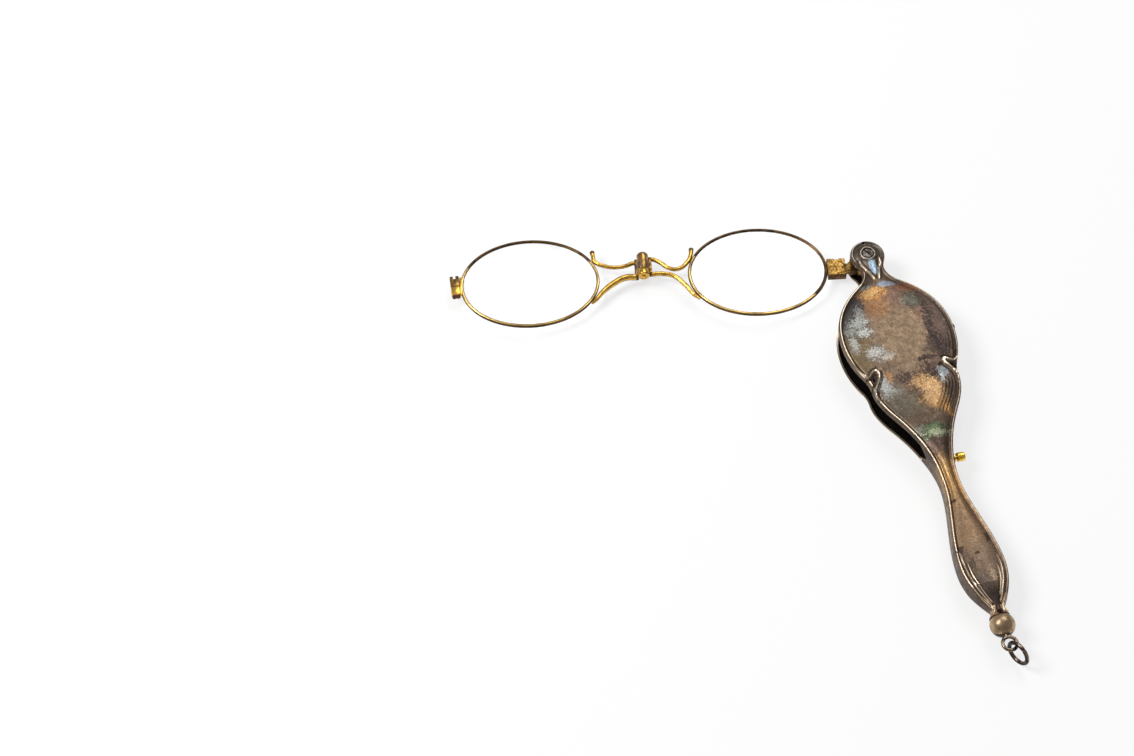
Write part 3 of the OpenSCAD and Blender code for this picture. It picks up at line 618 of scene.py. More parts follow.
# %% Gilt and steel
def tarnished(name, bright, dull, share, scale, metallic=0.9, rough=(0.2, 0.42), fleck=(50, 34, 22)):
    """A metal whose bright parts fade into dull ones, with dark specks over both."""
    material, tree, shader = new_material(name)
    masks = use_group(tree, tarnish_group, {"Place": object_place(tree), "Scale": scale, "Share": share})
    colour = blended(tree, masks["Cloud"], paint(*dull), paint(*bright))
    colour = blended(tree, maths(tree, "MULTIPLY", masks["Flecks"], 0.75), colour, paint(*fleck))
    feed(tree, colour, shader.inputs["Base Color"])
    feed(tree, blended(tree, masks["Cloud"], rough[1], rough[0], "FLOAT"), shader.inputs["Roughness"])
    shader.inputs["Metallic"].default_value = metallic
    bump(tree, shader, masks["Grain"], 0.3, 0.00005)
    return material


gilt = tarnished("gilt_brass", (236, 190, 88), (146, 100, 42), 0.44, 700)
gilt_dark = tarnished("gilt_dark", (168, 128, 66), (78, 58, 36), 0.52, 500)
barrel_gilt = tarnished("barrel_gilt", (206, 160, 80), (112, 88, 68), 0.52, 420)
rim_gilt = tarnished("rim_gilt", (226, 190, 114), (130, 102, 66), 0.46, 140)
# rim_dark is painted shade on the sides of the rims, and also their own darker finish on chosen arcs
rim_dark = tarnished("rim_dark", (104, 76, 44), (50, 36, 26), 0.5, 260, rough=(0.3, 0.5))
# painted shade for the sides of wires, leaves and blocks that turn away from the light
leaf_painted_shade = tarnished("leaf_painted_shade", (112, 76, 40), (56, 34, 20), 0.5, 700, rough=(0.3, 0.5))
block_gilt = tarnished("block_gilt", (206, 162, 84), (92, 62, 32), 0.5, 1500, rough=(0.36, 0.55))
button_gilt = tarnished("button_gilt", (255, 212, 92), (246, 186, 62), 0.4, 900, fleck=(120, 80, 30))
steel = tarnished("aged_steel", (112, 106, 100), (58, 50, 46), 0.5, 900, rough=(0.3, 0.5))
spring_steel = tarnished("spring_steel", (150, 146, 140), (92, 86, 80), 0.5, 900, rough=(0.25, 0.4))
rust = tarnished("rusty_steel", (112, 60, 34), (62, 30, 20), 0.5, 1100, metallic=0.4, rough=(0.5, 0.7))
ball_plate = tarnished("ball_plate", (192, 164, 128), (128, 106, 84), 0.5, 420, metallic=0.85,
                       rough=(0.3, 0.42))
case_edge = tarnished("case_edge", (196, 170, 142), (112, 90, 74), 0.45, 500, metallic=0.85,
                      rough=(0.2, 0.34))
ring_plate = tarnished("ring_plate", (176, 154, 134), (66, 54, 48), 0.52, 900, metallic=0.9,
                       rough=(0.16, 0.3))
# painted shade for the ball, eye and ring on the sides away from the light, and in the collar's groove
ring_painted_shade = tarnished("ring_painted_shade", (60, 50, 44), (26, 20, 18), 0.5, 900, metallic=0.8, rough=(0.25, 0.4))
# painted shade: an almost black finish for the inside of the case and the screw's slot
painted_inside_shade = tarnished("painted_inside_shade", (20, 16, 13), (8, 6, 5), 0.5, 300, metallic=0.0, rough=(0.85, 0.95))
print("metals", [material.name for material in bpy.data.materials][2:])

# %% [markdown]
# The inside of the case is given an almost black finish with hardly any shine, as painted shade, or the open slot
# would glow.
# Glass is a clear shader that lets light through its shadow, because a thin lens hardly darkens the table
# under it: for shadow rays, the Light Path node puts a transparent shader in its place.

# %% Case inside and glass
inside_shader = painted_inside_shade.node_tree.nodes["Principled BSDF"]
inside_shader.inputs["Specular IOR Level"].default_value = 0.05
glass, glass_tree, glass_shader = new_material("lens_glass")
glass_shader.inputs["Base Color"].default_value = (1, 1, 1, 1)
glass_shader.inputs["Transmission Weight"].default_value = 1
glass_shader.inputs["IOR"].default_value = 1.5
glass_shader.inputs["Roughness"].default_value = 0
clear = node(glass_tree, "BsdfTransparent")
through = node(glass_tree, "LightPath")
passing = node(glass_tree, "MixShader")
feed(glass_tree, through.outputs["Is Shadow Ray"], passing.inputs[0])
feed(glass_tree, glass_shader.outputs[0], passing.inputs[1])
feed(glass_tree, clear.outputs[0], passing.inputs[2])
feed(glass_tree, passing.outputs[0], glass_tree.nodes["Material Output"].inputs[0])
print("glass bends light by", glass_shader.inputs["IOR"].default_value)

# %% [markdown]
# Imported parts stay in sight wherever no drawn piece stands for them, so each of them gets a finish too.
# Most are gilt brass; the others are listed by name.

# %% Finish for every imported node
NODE_FINISH = {
    "pivot_screw": steel, "opening_spring": spring_steel, "catch_spring": spring_steel,
    "bridge_spring": spring_steel, "catch_pin": steel, "near_joint_screw": gilt_dark, "far_joint_screw": rust,
    "near_lens": glass, "far_lens": glass, "front_shell": case_front, "back_shell": case_back,
    "ball_finial": ball_plate, "bail_eye": ring_plate, "bail_ring": ring_plate, "spring_rivet": case_front,
    "near_rim": rim_gilt, "far_rim": rim_gilt, "hinge_barrel": barrel_gilt, "far_joint_upper": gilt_dark,
}
for name, packed in frame["nodes"].items():
    packed.data.materials.clear()
    packed.data.materials.append(NODE_FINISH.get(name, gilt))
print("finishes", len(bpy.data.materials))

# %% [markdown]
# ## The two panels of the case
# Each panel is one pressed sheet: a rolled edge, a bead, a shallow groove and a crowned middle, with chased
# ridges on top. No primitive has that outline, so a fine grid is wrapped onto it row by row: every row is one
# cut across the handle. First the outline, as half widths down the handle.

# %% Outline of the case
HEAD_R, HALF_W = 4.7, 15.34
WIDE_Y, LOBE_Y, NOTCH_Y, WAIST_Y = -28.02, -38.53, -43.33, -52.73
NECK_Y, GRIP_Y, END_Y = -72.54, -97.54, -109.64
NECK_HALF, GRIP_HALF, END_HALF = 2.3, 5.9, 1.75
SEAM_Z, WALL, SLOT_TOP, SLOT_END = 4.7, 0.5, 2.25, -62.8


def curve(p, steps=200):
    """Points on a smooth curve from the first to the last of four points; the middle two pull it."""
    t = np.linspace(0, 1, steps)[:, None]
    p = np.array(p, float)
    return (1 - t) ** 3 * p[0] + 3 * (1 - t) ** 2 * t * p[1] + 3 * (1 - t) * t * t * p[2] + t ** 3 * p[3]


head_turn = np.radians(np.linspace(84, -32, 200))
dense = np.concatenate([
    HEAD_R * np.stack([np.cos(head_turn), np.sin(head_turn)], -1),
    curve([(3.986, -2.491), (2.6, -4.7), (2.9, -7.6), (5.6, -9.8)]),
    curve([(5.6, -9.8), (HALF_W - 3.2, -14.8), (HALF_W, WIDE_Y + 8), (HALF_W, WIDE_Y)]),
    curve([(HALF_W, WIDE_Y), (HALF_W, WIDE_Y - 4.5), (HALF_W - 1.3, LOBE_Y + 2.2), (HALF_W - 2.4, LOBE_Y)]),
    curve([(HALF_W - 2.4, LOBE_Y), (HALF_W - 3, LOBE_Y - 1.2), (HALF_W - 3.6, NOTCH_Y + 2.2),
           (HALF_W - 3.55, NOTCH_Y)]),
    curve([(HALF_W - 3.55, NOTCH_Y), (HALF_W - 3.5, NOTCH_Y - 3), (HALF_W - 5, WAIST_Y + 3),
           (HALF_W - 6.9, WAIST_Y)]),
    curve([(HALF_W - 6.9, WAIST_Y), (HALF_W - 9, WAIST_Y - 3.6), (NECK_HALF, NECK_Y + 9),
           (NECK_HALF, NECK_Y)]),
    curve([(NECK_HALF, NECK_Y), (NECK_HALF, NECK_Y - 8), (GRIP_HALF, GRIP_Y + 9), (GRIP_HALF, GRIP_Y)]),
    curve([(GRIP_HALF, GRIP_Y), (GRIP_HALF, GRIP_Y - 5), (END_HALF + 1.85, END_Y + 2.8), (END_HALF, END_Y)]),
])
travel = np.concatenate([[0], np.cumsum(np.linalg.norm(np.diff(dense, axis=0), axis=1))])
STATIONS = 460
even = np.linspace(0, travel[-1], STATIONS)
outline = np.stack([np.interp(even, travel, dense[:, 0]), np.interp(even, travel, dense[:, 1])], -1)
slope = np.gradient(outline, axis=0)
slope /= np.linalg.norm(slope, axis=1)[:, None]
inward = np.stack([slope[:, 1], -slope[:, 0]], -1)
print("outline", STATIONS, "rows, half width", round(outline[:, 0].max(), 2))

# %% [markdown]
# The heights along the handle come from a short table: bead, crown, edge inside and crown inside, above the
# seam. The slot on the left is where the wall's lower edge rises to a lip.

# %% Heights
FRONT_H = [(END_Y, 1.5, 1.75, 0.9, 1.0), (GRIP_Y - 6, 2.65, 3.2, 2.1, 2.6), (NECK_Y, 2.7, 3.2, 2.1, 2.6),
           (NECK_Y + 10, 3.6, 4.2, 3.0, 3.6), (NOTCH_Y, 4.0, 4.7, 3.45, 4.2), (-13.7, 4.0, 4.7, 3.45, 4.1),
           (-4.7, 3.8, 4.35, 3.25, 3.3)]
BACK_H = [(END_Y, 1.5, 1.75, 0.9, 1.0), (GRIP_Y - 6, 2.65, 3.2, 2.1, 2.6), (NECK_Y, 2.7, 3.2, 2.1, 2.6),
          (NECK_Y + 10, 3.8, 4.2, 3.2, 3.6), (NOTCH_Y, 4.5, 4.7, 4.0, 4.2), (-13.7, 4.5, 4.7, 4.0, 4.2),
          (-4.7, 4.45, 4.6, 3.45, 3.5)]


def heights(table, y):
    """Bead, crown, edge inside and crown inside at each y."""
    table = np.array(table)
    return [np.interp(y, table[:, 0], table[:, k]) for k in (1, 2, 3, 4)]


def lip(y, opened):
    """How far the left wall's lower edge is raised at each y: opened along the slot, 0 elsewhere."""
    return np.interp(y, [SLOT_END - 1.5, SLOT_END + 1.5, SLOT_TOP, SLOT_TOP + 0.7], [0, opened, opened, 0])


print("bead at the notch", round(float(heights(FRONT_H, NOTCH_Y)[0]), 2), "mm above the seam")

# %% [markdown]
# The chased lines are ridges along smooth paths. Each vertex is lifted by how near it lies to a path, so a
# ridge is round on top and dies out at its ends.

# %% A ridge along a path
def smooth_path(points, steps=12):
    """Points close together on a smooth line through the given ones."""
    p = np.array([points[0]] + list(points) + [points[-1]], float)
    rows = []
    for i in range(1, len(p) - 2):
        for t in np.arange(steps) / steps:
            a, b, c, d = p[i - 1], p[i], p[i + 1], p[i + 2]
            rows.append(0.5 * (2 * b + (c - a) * t + (2 * a - 5 * b + 4 * c - d) * t * t
                               + (3 * b - a - 3 * c + d) * t ** 3))
    return np.array(rows + [p[-2]])


def ridge(x, y, points, half, height, fade=(0.15, 0.15)):
    """Lift along a path, the distance from it and its strength: fade is the share of each end that tapers."""
    path = smooth_path(points)
    length = np.concatenate([[0], np.cumsum(np.linalg.norm(np.diff(path, axis=0), axis=1))])
    length /= length[-1]
    lift = np.zeros_like(x)
    low, high = path.min(0) - 4 * half, path.max(0) + 4 * half
    near = (x > low[0]) & (x < high[0]) & (y > low[1]) & (y < high[1])
    px, py = x[near], y[near]
    gap = np.full(px.shape, 1e9)
    share = np.zeros(px.shape)
    for (a, b), (s, t) in zip(zip(path[:-1], path[1:]), zip(length[:-1], length[1:])):
        d = b - a
        k = np.clip(((px - a[0]) * d[0] + (py - a[1]) * d[1]) / max(d @ d, 1e-12), 0, 1)
        here = np.hypot(px - a[0] - k * d[0], py - a[1] - k * d[1])
        closer = here < gap
        gap[closer] = here[closer]
        share[closer] = (s + (t - s) * k)[closer]
    ends = np.clip(share / max(fade[0], 1e-3), 0, 1) * np.clip((1 - share) / max(fade[1], 1e-3), 0, 1)
    strength = np.zeros_like(x)
    away = np.full_like(x, 1e3)
    strength[near] = np.sqrt(np.clip(ends, 0, 1))
    away[near] = gap
    lift[near] = height * strength[near] * np.exp(-(gap / half) ** 2 * 1.2)
    return lift, away, strength


print("three points make a path of", len(smooth_path([(0, 0), (1, 1), (2, 0)])), "points")

# %% [markdown]
# Each row of the first table is one line: its points, its half width, its height, and the share of each end
# that tapers. The second table has the hollows beside them, with centre, reach and depth.

# %% Chased lines
RIDGES = [
    # left scroll: the edge curls in, round a knob and back down
    ([(-15.0, -32.5), (-14.5, -35.0), (-13.7, -37.0), (-12.7, -38.6), (-11.5, -39.2), (-10.6, -38.4),
      (-9.7, -37.75),
      (-8.9, -37.9)], 0.4, 0.8, (0.3, 0.02)),
    ([(-8.9, -37.9), (-8.75, -39.0), (-9.2, -40.5), (-10.1, -42.0), (-10.9, -43.4), (-11.3, -45.0),
      (-11.2, -47.0)],
     0.4, 0.75, (0.02, 0.3)),
    ([(-9.5, -37.8), (-9.0, -37.9)], 0.6, 0.9, (0, 0)),
    # right scroll
    ([(14.6, -34.5), (13.9, -36.8), (13.0, -38.2), (11.8, -38.8), (10.6, -38.5), (9.6, -37.9), (8.9, -38.2)],
     0.52, 0.85, (0.3, 0.02)),
    ([(8.9, -38.2), (9.3, -39.4), (10.3, -40.7), (11.0, -42.0), (11.2, -43.6), (11.0, -45.5)], 0.5, 0.85,
     (0.02, 0.4)),
    ([(9.3, -38.7), (8.9, -38.1)], 0.85, 1.1, (0, 0)),
    # the two lines of the head, meeting below the screw
    ([(-3.1, -1.4), (-2.5, -3.6), (-1.7, -5.8), (-1.2, -7.8), (-0.7, -9.6)], 0.32, 0.42, (0.1, 0.1)),
    ([(2.9, -1.4), (2.4, -3.6), (1.5, -5.8), (0.8, -7.8), (0.3, -9.6)], 0.32, 0.42, (0.1, 0.1)),
    # lines that gather towards the ball
    ([(-4.6, -92.5), (-4.5, -98.0), (-3.8, -102.4), (-2.5, -105.8), (-1.1, -108.4)], 0.26, 0.36, (0.3, 0.05)),
    ([(-3.7, -96.0), (-3.5, -100.0), (-2.8, -103.2), (-1.8, -106.0), (-0.8, -108.2)], 0.2, 0.24, (0.4, 0.05)),
    ([(4.6, -95.5), (4.3, -99.5), (3.5, -103.0), (2.3, -106.0), (1.0, -108.4)], 0.3, 0.35, (0.4, 0.05)),
    ([(3.5, -98.5), (3.2, -101.5), (2.4, -104.4), (1.4, -106.8)], 0.26, 0.22, (0.4, 0.1)),
]


def hollow(x, y, centre, reach):
    """1 at the centre of an oval, falling softly to 0."""
    return np.exp(-((x - centre[0]) / reach[0]) ** 2 - ((y - centre[1]) / reach[1]) ** 2)


HOLLOWS = [((-10.35, -40.1), (0.55, 1.1), 0.5), ((11.3, -40.2), (0.8, 1.0), 0.5),
           ((-3.9, -6.2), (0.7, 2.0), 0.3),
           ((3.6, -6.2), (0.7, 2.0), 0.3), ((-7.4, -38.6), (0.5, 1.6), 0.15)]

print("ridges", len(RIDGES), "hollows", len(HOLLOWS))

# %% [markdown]
# All of this is added up for every point of a panel. Each point also gets a tone: a painted highlight with wear
# on the tops of the lines, and painted shade with dirt beside them and in the deeper hollows.

# %% Relief and tone
def band(value, low, high, soft):
    """1 between low and high, with soft ends."""
    return np.clip((value - low) / soft, 0, 1) * np.clip((high - value) / soft, 0, 1)


def relief(x, y, inset):
    """All chased work of a panel: the lift in millimetres, and the tone from -1 (painted shade and dirt) to 1
    (painted highlight and wear).
    """
    lift, tone = np.zeros_like(x), np.zeros_like(x)
    for points, half, height, fade in RIDGES:
        rise, gap, strength = ridge(x, y, points, half, height, fade)
        lift = np.maximum(lift, rise)
        away = gap / half
        # painted highlight on the ridge top, painted shade in a band beside it
        shade = strength * (np.exp(-away ** 2 * 1.6) - 0.9 * np.exp(-((away - 2.1) / 0.55) ** 2))
        tone = np.where(shade > 0.1, np.maximum(shade, tone),
                        np.where(tone > 0.1, tone, np.minimum(shade, tone)))
    for centre, reach, depth in HOLLOWS:
        dip = hollow(x, y, centre, reach)
        lift -= depth * dip
        # the deeper hollows get painted shade
        tone -= 0.9 * dip * (depth > 0.4)
    reeds = np.cos(2 * np.pi * inset / 0.85)
    right = (0.12 * band(inset, 1.3, 5.0, 0.5) * band(-y, 42.5, 54, 3) + 0.07 * band(inset, 1.3, 3.4, 0.5)
             * band(-y, 28, 37, 3)) * (x > 0)
    left = 0.05 * band(inset, 1.4, 3.2, 0.5) * band(-y, 44.5, 52, 3) * (x < 0)
    lift += reeds * (right + left)
    # painted highlight on the crests of the reeds and painted shade in their troughs
    tone += np.where(reeds < 0, 7, 2) * reeds * (right + left) * 0.8
    return lift, np.clip(tone, -1, 1)


def edge_tone(x, y, inset):
    """The bead gets a painted highlight and the groove beside it painted shade, strongest on the left, where the
    light comes from.
    """
    strength = np.where(x < 0, 1.15, 0.6) * np.where(y > -9.5, 0.55, 1)
    return strength * (np.exp(-((inset - 0.47) / 0.18) ** 2) - 0.75 * np.exp(-((inset - 1.06) / 0.16) ** 2))


print("tone beside the bead", round(float(edge_tone(-5.0, -30.0, 1.06)), 2))

# %% [markdown]
# Now the sheet itself. Reading one row from left to right: the left wall, the rolled edge and bead, the
# crowned middle, the same again on the right, then back along the inside of the sheet. Each of these is a
# column of the grid, with one value for every row.

# %% Columns of the sheet
EDGE = [(0.0, -0.95), (0.03, -0.62), (0.1, -0.36), (0.2, -0.16), (0.32, -0.04), (0.45, 0.0), (0.58, -0.04),
        (0.72, -0.14), (0.85, -0.28), (0.98, -0.37), (1.1, -0.4), (1.25, -0.34), (1.45, -0.2)]
MIDDLE = 140
EDGE_END, EDGE_DROP, INSIDE_EDGE = 1.45, 0.2, 0.6


def moved_in(distance):
    """The outline moved into the plate; the move is smaller where the handle is thin."""
    w, y = outline[:, 0], outline[:, 1]
    thin = np.where(y > -HEAD_R, 1, np.minimum(1, w / 2.6))
    return w + inward[:, 0] * distance * thin, y + inward[:, 1] * distance * thin


def outer_side(side, low, bead):
    """One side of the plate from its lower edge: up the wall, then over the rolled edge and the bead."""
    rise = [(0, low), (0, low + (bead - 0.95 - low) * 0.5)]
    rise += [(s, np.maximum(low + 0.02 + 0.1 * s, bead + z)) for s, z in EDGE]
    columns = []
    for s, z in rise:
        px, py = moved_in(s)
        columns.append((side * px, py, z, np.full_like(px, s)))
    return columns


def outer_middle(bead, crown):
    """The crowned middle between the two beads, from left to right."""
    w = outline[:, 0]
    px, py = moved_in(EDGE_END)
    columns = []
    for f in np.linspace(1, -1, MIDDLE + 2)[1:-1]:
        z = crown + (bead - EDGE_DROP - crown) * f * f
        columns.append((-px * f, py, z, (w - np.abs(px * f)) * np.abs(inward[:, 0])))
    return columns


def inner_side(low_left, edge_in, crown_in):
    """The inside of the sheet, from right to left."""
    flat = 0 * outline[:, 0]
    px, py = moved_in(WALL + 0.55)
    wx, wy = moved_in(WALL)
    columns = [(wx, wy, flat, flat), (wx, wy, edge_in - INSIDE_EDGE, flat)]
    for f in (1, 0.75, 0.5, 0.25, 0, -0.25, -0.5, -0.75, -1):
        columns.append((px * f, py, crown_in + (edge_in - crown_in) * f * f, flat))
    columns.append((-wx, wy, np.maximum(low_left + 0.02, edge_in - INSIDE_EDGE), flat))
    columns.append((-wx, wy, low_left, flat))
    return columns


print("columns in the crowned middle:", MIDDLE)

# %% [markdown]
# The chased work then lifts the outer columns and gives each point its tone. The front panel also has a low
# collar pressed round the pivot screw, and the back panel's slot has a lip with a painted highlight.

# %% Lift and tone
HIGHEST, UNDER_SCREW = 4.69, 3.85


def collar_round_screw(x, y, lift, tone):
    """A low ring round the pivot screw, with a painted highlight on it and painted shade on both sides of it."""
    from_screw = np.hypot(x, y)
    collar = np.exp(-((from_screw - 1.95) / 0.22) ** 2)
    dirt_and_shade = 0.8 * np.exp(-((from_screw - 1.5) / 0.2) ** 2) + 0.6 * np.exp(-((from_screw - 2.5) / 0.3) ** 2)
    # painted highlight on the collar, painted shade beside it
    return lift + 0.2 * collar, np.clip(tone + 0.7 * collar - dirt_and_shade, -1, 1)


def chased(x, y, z, s, inner, low_left, in_front, depth):
    """Heights and tones of a panel's points, after all work on its surface."""
    lift, tone = relief(x, y, s)
    lift = lift * depth
    tone = np.clip(np.where(np.abs(tone) > 0.3, tone, tone + edge_tone(x, y, s)), -1, 1)
    tone = np.where(s < 0.05, np.minimum(tone, 0.1), tone)
    if in_front:
        lift, tone = collar_round_screw(x, y, lift, tone)
    tone = np.where(inner, 0, tone)
    if not in_front:
        # painted highlight on the open lip of the slot
        open_wall = (lip(y, 1) > 0.5) & (x < 0)
        lip_face = (~inner & (s < 0.4)) | (inner & (np.abs(z - low_left) < 0.1))
        tone = np.where(open_wall & lip_face, 0.7, tone)
    z = np.where(~inner & (s > 0.1), z + lift, z)
    if in_front:
        z = np.where(~inner & (np.hypot(x, y) < 1.62), np.minimum(z, UNDER_SCREW), z)
    return np.where(~inner, np.minimum(z, HIGHEST), z), tone


print("highest point over the seam", HIGHEST)

# %% [markdown]
# Last, the columns are put side by side and a grid is wrapped onto them. It closes on itself round the sheet,
# and its two open ends are filled. The faces inside get the almost black finish, painted shade.

# %% Panels
def panel(name, table, opened, in_front, depth, finish, replaced):
    """One pressed half of the case, above or below the seam."""
    bead, crown, edge_in, crown_in = heights(table, outline[:, 1])
    low_left = np.minimum(lip(outline[:, 1], opened), bead - 0.8)
    outside = outer_side(-1, low_left, bead) + outer_middle(bead, crown)
    outside += outer_side(1, 0 * bead, bead)[::-1]
    columns = outside + inner_side(low_left, edge_in, crown_in)
    count = len(columns)
    x, y, z, s = (np.stack([column[k] for column in columns]) for k in range(4))
    inner = np.arange(count)[:, None] >= len(outside) + 0 * y
    z, tone = chased(x, y, z, s, inner, low_left, in_front, depth)
    height = SEAM_Z + (z if in_front else -z)
    points = np.stack([x * MM, y * MM + PIVOT_Y, height * MM], -1)

    def place(row, column):
        return points[column % count, row]

    def chase(row, column):
        return tone[column % count, row]
    piece = wrapped(STATIONS - 1, count, place, chase)
    piece.data.materials.append(finish)
    piece.data.materials.append(painted_inside_shade)
    # the faces inside the sheet get painted shade
    face_column = np.arange(len(piece.data.polygons)) % count
    inside = (face_column >= len(outside)) & (face_column < count - 1)
    piece.data.polygons.foreach_set("material_index", inside.astype(np.int32))
    settle(piece, name, "case", None, replaced, sharp=50, close=True)
    print(name, len(piece.data.polygons), "faces")


panel("front_panel", FRONT_H, 2.2, True, 1.0, case_front, ["front_shell"])
panel("back_panel", BACK_H, 3.7, False, 0.3, case_back, ["back_shell"])

# %% [markdown]
# ## Lenses and rims
# A rim is a thin oval hoop of wire with the lens sprung into it. Its grid closes on itself both ways, round
# the oval and round the wire. A lens is turned like a round one, but each of its rings is an oval.

# %% Rims and lenses
RIM_A, RIM_B, RIM_HALF_T, RIM_HALF_H, LENS_Z = 18.82, 14.42, 0.42, 0.65, 3.0
NEAR_C, FAR_C, HINGE_U, HINGE_Z = 29.82, 92.66, 61.24, 4.0
LENS_A, LENS_B = 18.5, 14.1


def lens_points(u, v, height):
    """Points along the arm, across it and above the lens plane, for many points at once."""
    flat = np.outer(u, np.array(ALONG)) + np.outer(v, np.array(ACROSS))
    return np.array(on_arm(0, 0, LENS_Z)) + (flat + np.outer(height, (0, 0, 1))) * MM


def oval_hoop(centre, sides=200, around=16):
    """An oval rim: round outside, flatter inside where it holds the glass."""
    def place(row, column):
        t = 2 * np.pi * (row % sides) / sides
        q = 2 * np.pi * (column % around) / around
        ring = np.stack([RIM_A * np.cos(t), RIM_B * np.sin(t)], -1)
        out = np.stack([np.cos(t) / RIM_A, np.sin(t) / RIM_B], -1)
        out /= np.linalg.norm(out, axis=1)[:, None]
        swell = RIM_HALF_T * np.cos(q) * np.where(np.cos(q) > 0, 1, 1.3)
        flat = ring + out * swell[:, None]
        height = RIM_HALF_H * np.sin(q) * (1 - 0.12 * np.sin(q) ** 4)
        return lens_points(centre + flat[:, 0], flat[:, 1], height)
    return wrapped(sides, around, place)


def oval_lens(centre, sides=160):
    """An oval lens, thickest in the middle; each row is a share of its reach and a height."""
    rows = np.array([(0, -0.62), (0.35, -0.6), (0.7, -0.52), (0.93, -0.42), (0.985, -0.36), (1, -0.2),
                     (1, 0.2), (0.985, 0.36), (0.93, 0.42), (0.7, 0.52), (0.35, 0.6), (0, 0.62)])

    def place(row, column):
        t = 2 * np.pi * (column % sides) / sides
        reach = rows[row, 0]
        return lens_points(centre + reach * LENS_A * np.cos(t), reach * LENS_B * np.sin(t), rows[row, 1])
    return wrapped(len(rows) - 1, sides, place)


for which, centre, body in (("near", NEAR_C, "arm"), ("far", FAR_C, "far_half")):
    hoop_piece = settle(oval_hoop(centre), which + "_hoop", body, rim_gilt, [which + "_rim"], sharp=60)
    # painted shade on the sides of the rim wire that turn away from the light
    paint_shade_on_sides(hoop_piece, rim_dark, 0.6)
    finish_where(hoop_piece, rim_dark, lambda p: p.dot(ACROSS) > 6)
    if which == "near":
        finish_where(hoop_piece, rim_dark, lambda p: p.dot(ACROSS) > -9 and p.dot(ALONG) < 16)
    settle(oval_lens(centre), which + "_oval_lens", body, glass, [which + "_lens"], sharp=25)
print("rims and lenses made")

# %% [markdown]
# ## Bridge
# The bridge wires are drawn as curves with a round bevel, because a curve keeps an even wire thickness round
# every bend and can swell or taper at its ends.

# %% Drawing wires
def beside(centre, angle, distance):
    """A place beside a rim: at an angle round it, in degrees, and a distance out from its middle line."""
    t = math.radians(angle)
    out = Vector((math.cos(t) / RIM_A, math.sin(t) / RIM_B)).normalized()
    return (centre + RIM_A * math.cos(t) + out[0] * distance, RIM_B * math.sin(t) + out[1] * distance)


def wire_through(knots, sizes, thickness):
    """A round wire through the given points."""
    bare()
    bpy.ops.curve.primitive_bezier_curve_add()
    piece = bpy.context.object
    bpy.ops.object.mode_set(mode="EDIT")
    bpy.ops.curve.select_all(action="SELECT")
    bpy.ops.curve.subdivide(number_cuts=len(knots) - 2)
    bpy.ops.object.mode_set(mode="OBJECT")
    for knot, place, size in zip(piece.data.splines[0].bezier_points, knots, sizes):
        knot.handle_left_type = knot.handle_right_type = "AUTO"
        knot.co = place
        knot.radius = size
    piece.data.dimensions = "3D"
    piece.data.bevel_depth = thickness / 2 * MM
    piece.data.bevel_resolution = 5
    piece.data.resolution_u = 16
    piece.data.use_fill_caps = True
    only(piece)
    bpy.ops.object.convert(target="MESH")
    return bpy.context.object


print("beside the near rim's end:", [round(c, 2) for c in beside(NEAR_C, 0, 1)])

# %% [markdown]
# Two wires hold each rim. They leave the hinge's leaf, bend towards the rim and lie along it, where they are
# soldered. The upper ones end in a small swelling, the lower ones run out thin.

# %% Bridge wires
TOUCH, WIRE_THICK = 1.1, 1.2
UPPER_SIZES = [1.05, 1.02, 0.98, 0.95, 0.98, 1.02, 1.0, 1.15, 0.6]
near_leaf, far_leaf = HINGE_U - 2.2, HINGE_U + 2.1
near_r, far_r = NEAR_C + RIM_A, FAR_C - RIM_A


def mix(a, b, t):
    """A value between two others."""
    return a + (b - a) * t


def wire(places, sizes):
    """A bridge wire through places (u, v); the sizes swell or thin it at each of them."""
    return wire_through([on_arm(u, v, LENS_Z) for u, v in places], sizes, WIRE_THICK)


near_upper = wire([(near_leaf, 6.2), (near_leaf - 0.8, 6.05), (near_leaf - 2.6, 4.9), (near_leaf - 5, 2.8),
                   (mix(near_leaf, near_r, 0.72), 2.4), beside(NEAR_C, 17, TOUCH),
                   beside(NEAR_C, 26, TOUCH + 0.14), beside(NEAR_C, 32, TOUCH + 1.07),
                   beside(NEAR_C, 32.8, TOUCH + 1.25)], UPPER_SIZES)
near_lower = wire([(near_leaf, 1), (near_leaf - 3.2, 1), (near_leaf - 6.3, -0.1),
                   (mix(near_leaf, near_r, 0.86), -3.1), beside(NEAR_C, -25, TOUCH),
                   beside(NEAR_C, -32, TOUCH - 0.25)],
                  [1.1, 1.1, 1.08, 1.05, 0.95, 0.5])
near_wires = settle(joined(near_upper, near_lower), "near_wires", "arm", gilt, ["near_bridge_wires"],
                    sharp=60)
# painted shade on the sides and undersides of the wires
paint_shade_on_sides(near_wires, leaf_painted_shade, 0.05)
finish_where(near_wires, rim_dark, lambda p: p.dot(ACROSS) > 8.3)
far_upper = wire([(far_leaf, 5.2), (far_leaf + 0.8, 5.1), (far_leaf + 2.4, 4.4),
                  (mix(far_leaf, far_r, 0.5), 4), (mix(far_leaf, far_r, 0.82), 4.7),
                  beside(FAR_C, 156, TOUCH), beside(FAR_C, 150.6, TOUCH + 0.64),
                  beside(FAR_C, 146.3, TOUCH + 1.48), beside(FAR_C, 145.4, TOUCH + 1.66)], UPPER_SIZES)
far_lower = wire([(far_leaf, 0.3), (far_leaf + 2.9, 0.3), (mix(far_leaf, far_r, 0.62), -1.6),
                  (mix(far_leaf, far_r, 0.91), -4.3), beside(FAR_C, 204, TOUCH),
                  beside(FAR_C, 211, TOUCH - 0.25)],
                 [1.5, 1.5, 1.4, 1.2, 1.0, 0.5])
far_wires = settle(joined(far_upper, far_lower), "far_wires", "far_half", gilt, ["far_bridge_wires"],
                   sharp=60)
